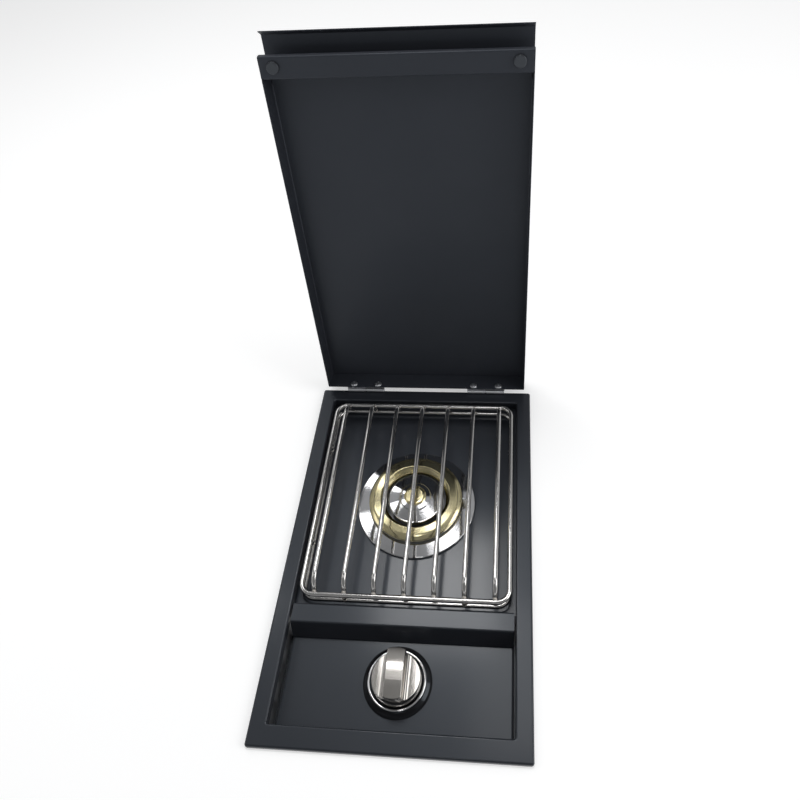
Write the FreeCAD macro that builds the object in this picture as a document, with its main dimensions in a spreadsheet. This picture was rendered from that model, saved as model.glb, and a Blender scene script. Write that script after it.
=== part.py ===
import FreeCAD, Part
import math
import os
import types
import Sketcher

# Built in side burner with its lid open, in millimetres, +Z up.
# The origin is the middle of the casing's underside. X runs across the burner and Y from front to back.
# A size whose name ends in _level is a height counted from the top face of the frame, up positive.
# The lid is drawn closed, about its hinge axis, and then turned open.

DRIVING = {
    # Frame: one sheet with a skirt turned down outside and round the opening
    "frame_width": 300,
    "frame_length": 472,
    "frame_corner": 3,
    "frame_sheet": 1.2,
    "frame_skirt": 6,
    "frame_bend": 2.4,
    "rim_side": 19,
    "rim_back": 19.3,
    "rim_front": 23,
    "opening_corner": 2.4,
    "opening_skirt": 10,
    "opening_bend": 2,
    "rim_height": 105,
    # Casing under the frame
    "casing_inset": 3,
    "casing_sheet": 1,
    "casing_corner": 3,
    "casing_flange": 10,
    "casing_bend": 2,
    "vent_width": 6,
    "vent_height": 30,
    "vent_pitch": 24,
    "vent_count": 9,
    "vent_level": -92,
    "floor_vent_width": 8,
    "floor_vent_length": 60,
    "floor_vent_near": 40,
    "floor_vent_pitch": 44,
    "floor_vent_count": 8,
    "vent_corner": 2.5,
    # Cross bar between the burner well and the control panel
    "bar_sheet": 1.2,
    "bar_bend": 2,
    "bar_top_level": -2.6,
    "bar_gap": 1,
    "bar_top_width": 22,
    "bar_base_width": 32.5,
    "bar_foot": 8,
    "bar_end_gap": 1.8,
    # Control panel
    "panel_level": -28,
    "panel_sheet": 1.5,
    "panel_side_gap": 1.7,
    "panel_skirt": 12,
    "panel_bend": 2.5,
    "panel_corner": 4,
    "stem_hole": 9,
    # Burner tray
    "tray_sheet": 1,
    "tray_side_ledge": 9.5,
    "tray_place": 137.5,
    "tray_back_ledge": 8.2,
    "tray_corner": 12,
    "tray_floor_level": -30,
    "ledge_level": -17,
    "tray_front_ledge": 5,
    "ledge_bend": 1.2,
    "ledge_upturn": 8,
    "tray_floor_bend": 3,
    "tray_hole_gap": 2,
    # Burner
    "bowl_radius": 56,
    "bowl_top_level": -24,
    "bowl_bottom_level": -60,
    "bowl_wall": 3,
    "bowl_flange": 5,
    "bowl_flange_sheet": 2.5,
    "bowl_base_radius": 30,
    "bowl_cone": 20,
    "air_floor": 16,
    "chamber_width": 13.5,
    "air_gap": 9.5,
    "tube_radius": 12,
    "tube_bore": 9,
    "tube_level": -48,
    "tube_place": 45,
    "seat_gap": 0.3,
    "port_width": 1.6,
    "port_height": 3.6,
    "outer_port_count": 36,
    "inner_port_count": 18,
    "ring_top_level": -14,
    "ring_top_sheet": 2,
    "cap_overhang": 4.8,
    "cap_lip": 2.4,
    "cap_drip": 2,
    "cap_edge_level": -12,
    "cap_crown_level": -7,
    "cap_crown_inset": 15.6,
    "cap_shoulder_inset": 4.8,
    "cap_shoulder_level": -8.9,
    "cap_shoulder_bend": 14,
    "cap_throat": 0.9,
    "cap_spigot_wall": 2.2,
    "cap_inner_level": -18,
    "head_top_level": -15,
    "head_top_sheet": 2,
    "head_overhang": 1.6,
    "inner_cap_overhang": 0.8,
    "inner_cap_rim_level": -13.4,
    "inner_cap_rim": 1.2,
    "cone_width": 14.8,
    "cone_top_level": -10,
    "hub_step": 1.3,
    "hub_level": -8.6,
    "hub_rise": 1.1,
    "dome_inset": 4.8,
    "dome_level": -5.6,
    "dome_bend": 5,
    # Drip ring
    "drip_width": 18.3,
    "drip_gap": 3.5,
    "drip_sheet": 0.8,
    "drip_edge_level": -26.5,
    "drip_top_level": -23,
    "drip_lip": 2.4,
    "drip_bend": 1.6,
    # Ignition
    "electrode_gap": 4.2,
    "electrode_back": -2,
    "ceramic_radius": 2.75,
    "ceramic_top_level": -11,
    "ceramic_taper": 4,
    "ceramic_tip_radius": 1.9,
    "ceramic_bottom_level": -56,
    "ceramic_collar_radius": 4.5,
    "ceramic_collar": 5,
    "electrode_wire": 0.9,
    "electrode_reach": 3,
    "electrode_rise": 4,
    "electrode_bend": 1.8,
    "ceramic_hole_gap": 1.2,
    "clip_sheet": 1,
    "clip_width": 12,
    "clip_reach": 20,
    "lead_radius": 1.5,
    "igniter_width": 22,
    "igniter_length": 22,
    "igniter_top_level": -36,
    "igniter_bottom_level": -60,
    "igniter_corner": 3,
    # Control knob and its bezel
    "knob_place": 56,
    "bezel_radius": 39,
    "bezel_inner_radius": 29.6,
    "bezel_edge": 1,
    "bezel_shoulder_radius": 37,
    "bezel_shoulder_level": -24.8,
    "bezel_top_radius": 33.5,
    "bezel_top_level": -22,
    "bezel_ring_inner_radius": 30.2,
    "bezel_ring_radius": 33,
    "bezel_ring_level": -18.5,
    "bezel_ring_bend": 1.2,
    "knob_radius": 29,
    "knob_bottom_level": -19,
    "knob_top_radius": 26.8,
    "knob_top_level": -8,
    "knob_wall": 3,
    "grip_width": 19.5,
    "grip_level": 10,
    "wing_level": -6.8,
    "wing_drop": 1.8,
    "wing_bend": 7,
    "grip_crown": 2,
    "grip_crown_bend": 260,
    "grip_edge": 0.6,
    "boss_radius": 9,
    "boss_level": -23,
    "knob_push": 3,
    # Gas valve
    "stem_radius": 4,
    "stem_top_level": -12,
    "stem_bottom_level": -46,
    "stem_flat": 1.2,
    "stem_collar_radius": 6,
    "stem_collar": 1.2,
    "collar_gap": 0.3,
    "running_gap": 0.05,
    "bonnet_length": 44,
    "bonnet_width": 20,
    "bonnet_corner": 8,
    "bonnet_sheet": 3,
    "valve_screw_spread": 17,
    "valve_screw_radius": 2,
    "valve_screw_head_radius": 3.8,
    "valve_screw_head": 2,
    "valve_radius": 13,
    "valve_chamber_radius": 8,
    "valve_bottom_level": -63,
    "plug_top_level": -40,
    "plug_bottom_level": -60,
    "socket_clearance": 1,
    "plug_port_radius": 3,
    "spigot_radius": 7,
    "inlet_spigot_end": 28,
    "outlet_spigot_end": 29,
    "spigot_bore": 3,
    "spring_gap": 0.6,
    "spring_end_gap": 0.3,
    "injector_hex": 12,
    "injector_body": 8,
    "injector_tip_radius": 3,
    "injector_tip": 7,
    "injector_bore": 0.6,
    # Air shutter
    "shutter_wall": 1.2,
    "shutter_reach": 14,
    "shutter_overlap": 12,
    "shutter_gap": 0.1,
    "window_count": 3,
    "window_width": 12,
    "window_length": 9,
    "shutter_screw_radius": 2,
    "shutter_screw_head_radius": 3.5,
    "shutter_screw_head": 3,
    # Gas line
    "pipe_radius": 4,
    "pipe_inset": 34,
    "pipe_bend": 20,
    "pipe_nut_hex": 14,
    "pipe_nut": 10,
    "inlet_hex": 24,
    "inlet_hex_length": 10,
    "inlet_thread_radius": 10.48,
    "inlet_neck_radius": 9.7,
    "inlet_relief": 0.5,
    "inlet_thread": 13.5,
    "inlet_bore": 6,
    "inlet_hole_gap": 0.3,
    "inlet_nut_hex": 27,
    "inlet_nut": 6,
    "clip_place": 30,
    "clip_wall_height": 24,
    # Lid
    "lid_angle": 98,
    "hinge_back": 2.3,
    "hinge_rise": 3,
    "lid_side_inset": 8.5,
    "lid_depth": 28,
    "lid_sheet": 1,
    "lid_bend": 2.2,
    "lid_back": 5.5,
    "lid_front_inset": 1,
    "lip_length": 14.15,
    "lip_fold": 10,
    "lip_angle": 59,
    "lip_bend": 2,
    "band_width": 22.4,
    "band_upturn": 7,
    "band_bend": 1.8,
    "channel_flange": 16,
    "bumper_radius": 6.5,
    "bumper_side_inset": 14.8,
    "bumper_inset": 11,
    "bumper_edge": 1,
    # Hinges
    "hinge_inset": 63,
    "hinge_width": 53,
    "knuckle_gap": 1.5,
    "knuckle_radius": 2.5,
    "hinge_pin_radius": 1.2,
    "hinge_leaf": 1.5,
    "lid_leaf_height": 12.5,
    "frame_leaf": 1.3,
    "frame_leaf_foot": -6,
    "stop_thickness": 1.6,
    "stop_gap": 0.3,
    "lid_screw_spread": 17.7,
    "lid_screw_place": 6,
    "lid_screw_radius": 2,
    "lid_screw_head_radius": 5.2,
    "lid_screw_head": 2,
    # Grate
    "wire_radius": 3,
    "loop_side_gap": 1,
    "loop_end_gap": 4,
    "loop_corner": 15,
    "rod_level": 14,
    "rod_count": 7,
    "rod_side_space": 16.7,
    "rod_leg_angle": 72,
    "rod_bend": 18,
    "rod_weld": 0.5,
    "leg_inset": 5.5,
    "post_radius": 2.5,
}


class Size:
    """A length: its number, and the same formula as text for an expression."""

    def __init__(self, text, number):
        self.text = text
        self.number = float(number)

    def __add__(self, other):
        other = as_size(other)
        return Size("(%s + %s)" % (self.text, other.text), self.number + other.number)

    def __sub__(self, other):
        other = as_size(other)
        return Size("(%s - %s)" % (self.text, other.text), self.number - other.number)

    def __mul__(self, other):
        other = as_size(other)
        return Size("(%s * %s)" % (self.text, other.text), self.number * other.number)

    def __truediv__(self, other):
        other = as_size(other)
        return Size("(%s / %s)" % (self.text, other.text), self.number / other.number)

    def __neg__(self):
        return 0 - self

    def __radd__(self, other):
        return as_size(other) + self

    def __rsub__(self, other):
        return as_size(other) - self

    def __rmul__(self, other):
        return as_size(other) * self


def as_size(value):
    """A Size, also from a plain number."""
    return value if isinstance(value, Size) else Size("(%r)" % float(value), value)


def root(value):
    """The square root of a size."""
    return Size("sqrt(%s)" % value.text, math.sqrt(value.number))


def cosine(degrees):
    """The cosine of an angle in degrees."""
    return Size("cos(%s * 1 deg)" % degrees.text, math.cos(math.radians(degrees.number)))


def sine(degrees):
    """The sine of an angle in degrees."""
    return Size("sin(%s * 1 deg)" % degrees.text, math.sin(math.radians(degrees.number)))


def fill_sheet(doc, driving):
    """Write the driving dimensions to the spreadsheet and return them by name."""
    sheet = doc.addObject("Spreadsheet::Sheet", "sizes")
    for row, (name, number) in enumerate(driving.items(), 1):
        sheet.set("A%d" % row, name)
        sheet.set("B%d" % row, str(number))
        sheet.setAlias("B%d" % row, name)
    return types.SimpleNamespace(**{name: Size("sizes." + name, number) for name, number in driving.items()})


doc = FreeCAD.newDocument("side_burner")
s = fill_sheet(doc, DRIVING)

# Values worked out from the driving dimensions

opening_x = s.frame_width / 2 - s.rim_side
opening_front = s.rim_front - s.frame_length / 2
opening_back = s.frame_length / 2 - s.rim_back
casing_x = opening_x + s.casing_inset
casing_front = opening_front - s.casing_inset
casing_back = opening_back + s.casing_inset
panel_x = opening_x - s.panel_side_gap
panel_front = opening_front + s.panel_side_gap
panel_under_level = s.panel_level - s.panel_sheet
bonnet_bottom_level = panel_under_level - s.bonnet_sheet
collar_top_level = bonnet_bottom_level - s.collar_gap
collar_bottom_level = collar_top_level - s.stem_collar
socket_level = s.stem_bottom_level - s.knob_push - s.socket_clearance
tray_x = casing_x - s.tray_side_ledge
tray_front = opening_front + s.tray_place
tray_back = casing_back - s.tray_back_ledge
ledge_front = tray_front - s.tray_front_ledge
bar_back = ledge_front - s.bar_gap
bar_front = bar_back - s.bar_base_width
panel_back = bar_front + s.bar_foot
burner_y = (tray_front + tray_back) / 2
chamber_inner = s.bowl_radius - s.chamber_width
centre_wall = chamber_inner - s.air_gap
cap_radius = s.bowl_radius + s.cap_overhang
head_radius = centre_wall + s.head_overhang
inner_cap_radius = head_radius + s.inner_cap_overhang
cone_top = inner_cap_radius - s.cone_width
hub_radius = cone_top - s.hub_step
dome_radius = hub_radius - s.dome_inset
drip_inner = s.bowl_radius + s.drip_gap
electrode_side = cap_radius + s.electrode_gap
knob_y = opening_front + s.knob_place
tube_end = knob_y + s.tube_place
shutter_front = tube_end - s.shutter_reach
shutter_back = tube_end + s.shutter_overlap
pipe_x = s.pipe_inset - casing_x
hinge_x = s.frame_width / 2 - s.hinge_inset
hinge_y = s.frame_length / 2 - s.hinge_back
hinge_z = s.rim_height + s.hinge_rise
lid_width = s.frame_width - s.lid_side_inset * 2
lid_front = hinge_y + s.frame_length / 2 - s.lid_front_inset
band_web = lid_front - s.band_width
bumper_x = lid_width / 2 - s.bumper_side_inset
loop_x = tray_x - s.loop_side_gap
loop_y = (tray_back - tray_front) / 2 - s.loop_end_gap
rod_pitch = (loop_x - s.rod_side_space) * 2 / (s.rod_count - 1)
post_x = rod_pitch * 2
post_y = loop_y / 2
lower_loop_level = s.ledge_level + s.seat_gap + s.wire_radius
inlet_wall = casing_back + s.casing_sheet


# Bodies, sketches and features

def bind(target, prop, value):
    """Bind one property of an object to a size."""
    target.setExpression(prop, as_size(value).text)


def new_body(label, x=0, y=0, z=s.rim_height):
    """A sub-part's body; levels in its sketches count from the frame's top face."""
    body = doc.addObject("PartDesign::Body", label)
    body.Label = label
    bind(body, "Placement.Base.x", x)
    bind(body, "Placement.Base.y", y)
    bind(body, "Placement.Base.z", z)
    return body


def lid_body(label):
    """A body of the lid, drawn closed about the hinge axis and turned open."""
    body = new_body(label, 0, hinge_y, hinge_z)
    body.Placement.Rotation = FreeCAD.Rotation(FreeCAD.Vector(-1, 0, 0), s.lid_angle.number)
    bind(body, "Placement.Rotation.Angle", s.lid_angle)
    return body


def origin_feature(body, role):
    """One plane or axis of the body's own origin."""
    return [feature for feature in body.Origin.OriginFeatures if feature.Role == role][0]


def sketch_on(body, plane, offset=0):
    """A sketch on the body's XY, XZ or YZ plane, moved along the plane's normal."""
    made = body.newObject("Sketcher::SketchObject", "Sketch")
    made.AttachmentSupport = [(origin_feature(body, plane + "_Plane"), "")]
    made.MapMode = "FlatFace"
    bind(made, "AttachmentOffset.Base.z", offset)
    return made


def dimension(made, kind, items, value):
    """Add one dimension to a sketch, bound to its size."""
    value = as_size(value)
    index = made.addConstraint(Sketcher.Constraint(kind, *items, value.number))
    made.setExpression("Constraints[%d]" % index, value.text)


def fix_point(made, item, end, point):
    """Hold one point of a sketch at its two coordinates."""
    dimension(made, "DistanceX", (-1, 1, item, end), point[0])
    dimension(made, "DistanceY", (-1, 1, item, end), point[1])


def vector(point):
    """A sketch point's numbers as a vector."""
    return FreeCAD.Vector(as_size(point[0]).number, as_size(point[1]).number, 0)


def corner_arc(before, here, after, radius):
    """The start, middle and end of the arc that rounds one corner."""
    back = (before - here).normalize()
    ahead = (after - here).normalize()
    half = back.getAngle(ahead) / 2
    reach = radius / math.tan(half)
    middle = here + (back + ahead).normalize() * (radius / math.sin(half) - radius)
    return here + back * reach, middle, here + ahead * reach


def join_round(made, before, ahead, arc, corner, radius):
    """The tangent arc at a corner; a helper point keeps the corner itself in place."""
    item = made.addGeometry(Part.Arc(*arc), False)
    forward = (made.getPoint(item, 1) - arc[0]).Length < (made.getPoint(item, 2) - arc[0]).Length
    first, last = (1, 2) if forward else (2, 1)
    made.addConstraint(Sketcher.Constraint("Tangent", before, 2, item, first))
    made.addConstraint(Sketcher.Constraint("Tangent", item, last, ahead, 1))
    dimension(made, "Radius", (item,), radius)
    helper = made.addGeometry(Part.Point(vector(corner)), True)
    made.addConstraint(Sketcher.Constraint("PointOnObject", helper, 1, before))
    made.addConstraint(Sketcher.Constraint("PointOnObject", helper, 1, ahead))
    fix_point(made, helper, 1, corner)


def outline(made, corners, radii=0, closed=True):
    """Lines through the corners, each corner rounded by its radius where that is not zero."""
    count = len(corners)
    radii = list(radii) if isinstance(radii, (list, tuple)) else [radii] * count
    inner = range(count) if closed else range(1, count - 1)
    points = [vector(corner) for corner in corners]
    arcs = {}
    for i in inner:
        radius = as_size(radii[i]).number
        if radius > 0:
            arcs[i] = corner_arc(points[i - 1], points[i], points[(i + 1) % count], radius)
    lines = []
    for i in range(count if closed else count - 1):
        after = (i + 1) % count
        start = arcs[i][2] if i in arcs else points[i]
        end = arcs[after][0] if after in arcs else points[after]
        lines.append(made.addGeometry(Part.LineSegment(start, end), False))
    for i in inner:
        before = lines[i - 1]
        ahead = lines[i]
        if i in arcs:
            join_round(made, before, ahead, arcs[i], corners[i], radii[i])
        else:
            made.addConstraint(Sketcher.Constraint("Coincident", before, 2, ahead, 1))
            fix_point(made, ahead, 1, corners[i])
    if not closed:
        fix_point(made, lines[0], 1, corners[0])
        fix_point(made, lines[-1], 2, corners[-1])


def rectangle(made, left, low, right, high, radius=0):
    """A rectangle between two corners, its own corners rounded."""
    outline(made, [(left, low), (right, low), (right, high), (left, high)], radius)


def circle(made, across, up, radius):
    """A circle about one point."""
    item = made.addGeometry(Part.Circle(vector((across, up)), FreeCAD.Vector(0, 0, 1), as_size(radius).number), False)
    fix_point(made, item, 3, (across, up))
    dimension(made, "Radius", (item,), radius)


def hexagon(made, across, up, flats):
    """A hexagon about one point, given by its width across flats."""
    corner = as_size(flats) / math.sqrt(3)
    corners = []
    for turn in range(6):
        angle = math.radians(60 * turn + 30)
        corners.append((across + corner * math.cos(angle), up + corner * math.sin(angle)))
    outline(made, corners)


def unit_normal(start, end):
    """The unit vector to the left of the way from one point to the next."""
    across = as_size(end[0]) - start[0]
    up = as_size(end[1]) - start[1]
    if abs(up.number) < 1e-9:
        return as_size(0), as_size(math.copysign(1, across.number))
    if abs(across.number) < 1e-9:
        return as_size(-math.copysign(1, up.number)), as_size(0)
    length = root(across * across + up * up)
    return -up / length, across / length


def folded_strip(made, points, sheet, bend):
    """The section of a folded sheet that lies to the left of the points; bend is its outside radius."""
    last = len(points) - 1
    normals = [unit_normal(points[i], points[i + 1]) for i in range(last)]
    other = [(points[0][0] + sheet * normals[0][0], points[0][1] + sheet * normals[0][1])]
    outer_radii = [0] * (last + 1)
    other_radii = [0] * (last + 1)
    for i in range(1, last):
        a, b = normals[i - 1], normals[i]
        share = sheet / (1 + a[0] * b[0] + a[1] * b[1])
        other.append((points[i][0] + share * (a[0] + b[0]), points[i][1] + share * (a[1] + b[1])))
        left_turn = a[0].number * b[1].number - a[1].number * b[0].number > 0
        outer_radii[i] = bend if left_turn else bend - sheet
        other_radii[i] = bend - sheet if left_turn else bend
    a = normals[-1]
    other.append((points[-1][0] + sheet * a[0], points[-1][1] + sheet * a[1]))
    outline(made, list(points) + other[::-1], outer_radii + other_radii[::-1])


def add_feature(body, kind, made, length, forward, symmetric=False):
    """A pad or pocket of a sketch, along or against the sketch's normal."""
    feature = body.newObject("PartDesign::" + kind, kind)
    feature.Profile = made
    if length is None:
        feature.Type = "ThroughAll"
    else:
        bind(feature, "Length", length)
    if symmetric:
        feature.SideType = "Symmetric"
    feature.Reversed = forward == (kind == "Pocket")
    body.Tip = feature
    return feature


def pad(body, made, length, forward=True, symmetric=False):
    """Material from a sketch."""
    return add_feature(body, "Pad", made, length, forward, symmetric)


def pocket(body, made, length=None, forward=False, symmetric=False):
    """A cut from a sketch; it must take material away."""
    doc.recompute()
    before = body.Shape.Volume
    feature = add_feature(body, "Pocket", made, length, forward, symmetric)
    doc.recompute()
    if not body.Shape.Volume < before - 1e-3:
        raise RuntimeError("a pocket of %s cuts nothing" % body.Label)
    return feature


def revolve(body, made, kind="Revolution"):
    """A full turn of a sketch about its vertical axis."""
    feature = body.newObject("PartDesign::" + kind, kind)
    feature.Profile = made
    feature.ReferenceAxis = (made, ["V_Axis"])
    feature.Angle = 360
    body.Tip = feature
    return feature


def turned(label, points, radii=0, x=0, y=0):
    """A body that is one turned profile of radii and levels."""
    body = new_body(label, x, y)
    profile = sketch_on(body, "XZ")
    outline(profile, points, radii)
    revolve(body, profile)
    return body


def pipe(body, profile, path):
    """Material swept along a path."""
    feature = body.newObject("PartDesign::AdditivePipe", "Pipe")
    feature.Profile = profile
    feature.Spine = path
    body.Tip = feature
    return feature


def repeat_in_line(body, originals, axis, pitch, count):
    """Copies of features along one of the body's axes."""
    feature = body.newObject("PartDesign::LinearPattern", "LinearPattern")
    feature.Originals = originals
    feature.Direction = (origin_feature(body, axis + "_Axis"), [""])
    bind(feature, "Length", pitch * (count - 1))
    bind(feature, "Occurrences", count)
    body.Tip = feature
    return feature


def repeat_round(body, originals, count, axis="Z"):
    """Copies of features round one of the body's axes."""
    feature = body.newObject("PartDesign::PolarPattern", "PolarPattern")
    feature.Originals = originals
    feature.Axis = (origin_feature(body, axis + "_Axis"), [""])
    feature.Angle = 360
    bind(feature, "Occurrences", count)
    body.Tip = feature
    return feature


def round_edges(body, radius, chosen, kind="Fillet"):
    """Round the edges whose every point passes the test."""
    doc.recompute()
    base = body.Tip
    names = []
    for number, edge in enumerate(base.Shape.Edges, 1):
        if all(chosen(point) for point in edge.discretize(5)):
            names.append("Edge%d" % number)
    if not names:
        raise RuntimeError("no edge to round on " + body.Label)
    feature = body.newObject("PartDesign::" + kind, kind)
    feature.Base = (base, names)
    bind(feature, "Radius" if kind == "Fillet" else "Size", radius)
    body.Tip = feature
    return feature


def near(value, target):
    """True where a coordinate lies on a size."""
    return abs(value - as_size(target).number) < 1e-3


# Frame and casing

def plan(made, half_width, front, back, radius):
    """A rectangle that is symmetric across the burner."""
    rectangle(made, -half_width, front, half_width, back, radius)


def ring(body, level, outer, inner, thickness):
    """A flat or upright ring between two plans, standing on a level."""
    made = sketch_on(body, "XY", level)
    plan(made, *outer)
    plan(made, *inner)
    return pad(body, made, thickness)


def top_frame():
    body = new_body("top_frame")
    half_width = s.frame_width / 2
    half_length = s.frame_length / 2
    inside_width = half_width - s.frame_sheet
    inside_length = half_length - s.frame_sheet
    outer = (half_width, -half_length, half_length, s.frame_corner)
    inset = (inside_width, -inside_length, inside_length, s.frame_corner - s.frame_sheet)
    opening = (opening_x, opening_front, opening_back, s.opening_corner)
    collar = (opening_x + s.frame_sheet, opening_front - s.frame_sheet, opening_back + s.frame_sheet,
              s.opening_corner + s.frame_sheet)
    ring(body, -s.frame_sheet, outer, opening, s.frame_sheet)
    ring(body, -s.frame_skirt, outer, inset, s.frame_skirt)
    ring(body, -s.opening_skirt, collar, opening, s.opening_skirt)
    wide = half_width.number - 1
    far = half_length.number - 1
    round_edges(body, s.frame_bend, lambda p: near(p.z, 0) and (abs(p.x) > wide or abs(p.y) > far))
    round_edges(body, s.opening_bend, lambda p: near(p.z, 0) and abs(p.x) < wide - 5 and abs(p.y) < far - 5)
    return body


def casing():
    body = new_body("casing")
    sheet = s.casing_sheet
    outer = (casing_x + sheet, casing_front - sheet, casing_back + sheet, s.casing_corner + sheet)
    inner = (casing_x, casing_front, casing_back, s.casing_corner)
    reach = s.casing_flange + sheet
    flange = (casing_x + reach, casing_front - reach, casing_back + reach, s.casing_corner)
    top = -s.frame_sheet
    floor = sketch_on(body, "XY", -s.rim_height)
    plan(floor, *outer)
    pad(body, floor, sheet)
    ring(body, -s.rim_height, outer, inner, s.rim_height + top)
    ring(body, top - sheet, flange, inner, sheet)
    round_edges(body, s.casing_bend, lambda p: near(p.z, -s.rim_height))
    vents = sketch_on(body, "YZ")
    first = s.vent_pitch * (1 - s.vent_count) / 2
    rectangle(vents, first - s.vent_width / 2, s.vent_level, first + s.vent_width / 2,
              s.vent_level + s.vent_height, s.vent_corner)
    slots = pocket(body, vents, symmetric=True)
    repeat_in_line(body, [slots], "Y", s.vent_pitch, s.vent_count)
    floor_vents = sketch_on(body, "XY", -s.rim_height)
    low = s.floor_vent_pitch * (1 - s.floor_vent_count) / 2 - s.floor_vent_width / 2
    far = s.floor_vent_near + s.floor_vent_length
    for left, right in ((s.floor_vent_near, far), (-far, -s.floor_vent_near)):
        rectangle(floor_vents, left, low, right, low + s.floor_vent_width, s.vent_corner)
    slots = pocket(body, floor_vents, sheet, forward=True)
    repeat_in_line(body, [slots], "Y", s.floor_vent_pitch, s.floor_vent_count)
    gas_hole = sketch_on(body, "XZ", -casing_back)
    circle(gas_hole, pipe_x, s.tube_level, s.inlet_thread_radius + s.inlet_hole_gap)
    pocket(body, gas_hole, sheet)
    return body


def cross_bar():
    body = new_body("cross_bar")
    section = sketch_on(body, "YZ")
    foot_level = s.ledge_level - s.tray_sheet
    top_front = bar_back - s.bar_top_width
    folded_strip(section, [
        (tray_front - s.tray_sheet - s.running_gap, foot_level),
        (bar_back, foot_level),
        (bar_back, s.bar_top_level),
        (top_front, s.bar_top_level),
        (bar_front, s.panel_level),
        (bar_front + s.bar_foot, s.panel_level),
    ], s.bar_sheet, s.bar_bend)
    pad(body, section, (opening_x - s.bar_end_gap) * 2, symmetric=True)
    return body


def control_panel():
    """The sunk panel: sides and front turned down to a foot on the casing's walls, the back open."""
    body = new_body("control_panel")
    sheet = s.panel_sheet
    bottom = s.panel_level - s.panel_skirt
    inside = s.panel_corner - sheet
    top = sketch_on(body, "XY", bottom)
    plan(top, panel_x, panel_front, panel_back, [s.panel_corner, s.panel_corner, 0, 0])
    pad(body, top, s.panel_skirt)
    hollow = sketch_on(body, "XY", bottom)
    plan(hollow, panel_x - sheet, panel_front + sheet, panel_back, [inside, inside, 0, 0])
    pocket(body, hollow, s.panel_skirt - sheet, forward=True)
    wide = panel_x.number - s.panel_corner.number
    back = panel_back.number - 1
    round_edges(body, s.panel_bend, lambda p: near(p.z, s.panel_level) and (abs(p.x) > wide or p.y < back))
    foot = sketch_on(body, "XY", bottom)
    outline(foot, [
        (casing_x, casing_front), (casing_x, panel_back), (panel_x - sheet, panel_back),
        (panel_x - sheet, panel_front + sheet), (sheet - panel_x, panel_front + sheet),
        (sheet - panel_x, panel_back), (-casing_x, panel_back), (-casing_x, casing_front),
    ], [s.casing_corner, 0, 0, inside, inside, 0, 0, s.casing_corner])
    pad(body, foot, sheet)
    holes = sketch_on(body, "XY", s.panel_level)
    circle(holes, 0, knob_y, s.stem_hole)
    for side in (-1, 1):
        circle(holes, s.valve_screw_spread * side, knob_y, s.valve_screw_radius + s.running_gap)
    pocket(body, holes, sheet)
    return body


def burner_tray():
    body = new_body("burner_tray")
    sheet = s.tray_sheet
    ledge_under = s.ledge_level - sheet
    floor_under = s.tray_floor_level - sheet
    inner = (tray_x, tray_front, tray_back, s.tray_corner)
    outer = (tray_x + sheet, tray_front - sheet, tray_back + sheet, s.tray_corner + sheet)
    ledge = (casing_x, ledge_front, casing_back, s.casing_corner)
    floor = sketch_on(body, "XY", floor_under)
    plan(floor, *outer)
    pad(body, floor, sheet)
    ring(body, floor_under, outer, inner, s.ledge_level - floor_under)
    ring(body, ledge_under, ledge, inner, sheet)
    upturn = sketch_on(body, "XY", s.ledge_level)
    outline(upturn, [
        (casing_x, ledge_front), (casing_x, casing_back), (-casing_x, casing_back),
        (-casing_x, ledge_front), (sheet - casing_x, ledge_front), (sheet - casing_x, casing_back - sheet),
        (casing_x - sheet, casing_back - sheet), (casing_x - sheet, ledge_front),
    ], [0, s.casing_corner, s.casing_corner, 0, 0, s.casing_corner - sheet, s.casing_corner - sheet, 0])
    pad(body, upturn, s.ledge_upturn)
    wall_x = tray_x.number + 0.1
    round_edges(body, s.tray_floor_bend, lambda p: near(p.z, s.tray_floor_level) and abs(p.x) < wall_x)
    round_edges(body, s.ledge_bend, lambda p: near(p.z, s.ledge_level) and abs(p.x) < wall_x
                and tray_front.number - 0.1 < p.y < tray_back.number + 0.1)
    holes = sketch_on(body, "XY", s.tray_floor_level)
    circle(holes, 0, burner_y, s.bowl_radius + s.tray_hole_gap)
    circle(holes, electrode_side, burner_y + s.electrode_back, s.ceramic_radius + s.ceramic_hole_gap)
    pocket(body, holes, sheet)
    return body


# Burner

def burner_bowl():
    body = new_body("burner_bowl", y=burner_y)
    wall = s.bowl_wall
    bottom = s.bowl_bottom_level
    inside = bottom + wall
    cone_level = bottom + s.bowl_cone
    chamber = chamber_inner + wall
    gap_floor = bottom + s.air_floor
    profile = sketch_on(body, "XZ")
    outline(profile, [
        (0, bottom), (s.bowl_base_radius, bottom), (s.bowl_radius, cone_level),
        (s.bowl_radius, s.tray_floor_level), (s.bowl_radius + s.bowl_flange, s.tray_floor_level),
        (s.bowl_radius + s.bowl_flange, s.tray_floor_level + s.bowl_flange_sheet),
        (s.bowl_radius, s.tray_floor_level + s.bowl_flange_sheet),
        (s.bowl_radius, s.bowl_top_level), (s.bowl_radius - wall, s.bowl_top_level),
        (s.bowl_radius - wall, cone_level + wall), (chamber, gap_floor), (chamber, s.bowl_top_level),
        (chamber_inner, s.bowl_top_level), (chamber_inner, gap_floor),
        (centre_wall, gap_floor), (centre_wall, s.bowl_top_level),
        (centre_wall - wall, s.bowl_top_level), (centre_wall - wall, inside), (0, inside),
    ])
    revolve(body, profile)
    tube = sketch_on(body, "XZ", chamber_inner)
    circle(tube, 0, s.tube_level, s.tube_radius)
    pad(body, tube, burner_y - tube_end - chamber_inner)
    bore = sketch_on(body, "XZ", centre_wall - wall * 2)
    circle(bore, 0, s.tube_level, s.tube_bore)
    pocket(body, bore, burner_y - tube_end, forward=True)
    cross_port = sketch_on(body, "XY", s.tube_level)
    circle(cross_port, 0, -(chamber + s.bowl_radius - wall) / 2, wall)
    pocket(body, cross_port, s.bowl_top_level - s.tube_level, forward=True)
    return body


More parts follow.
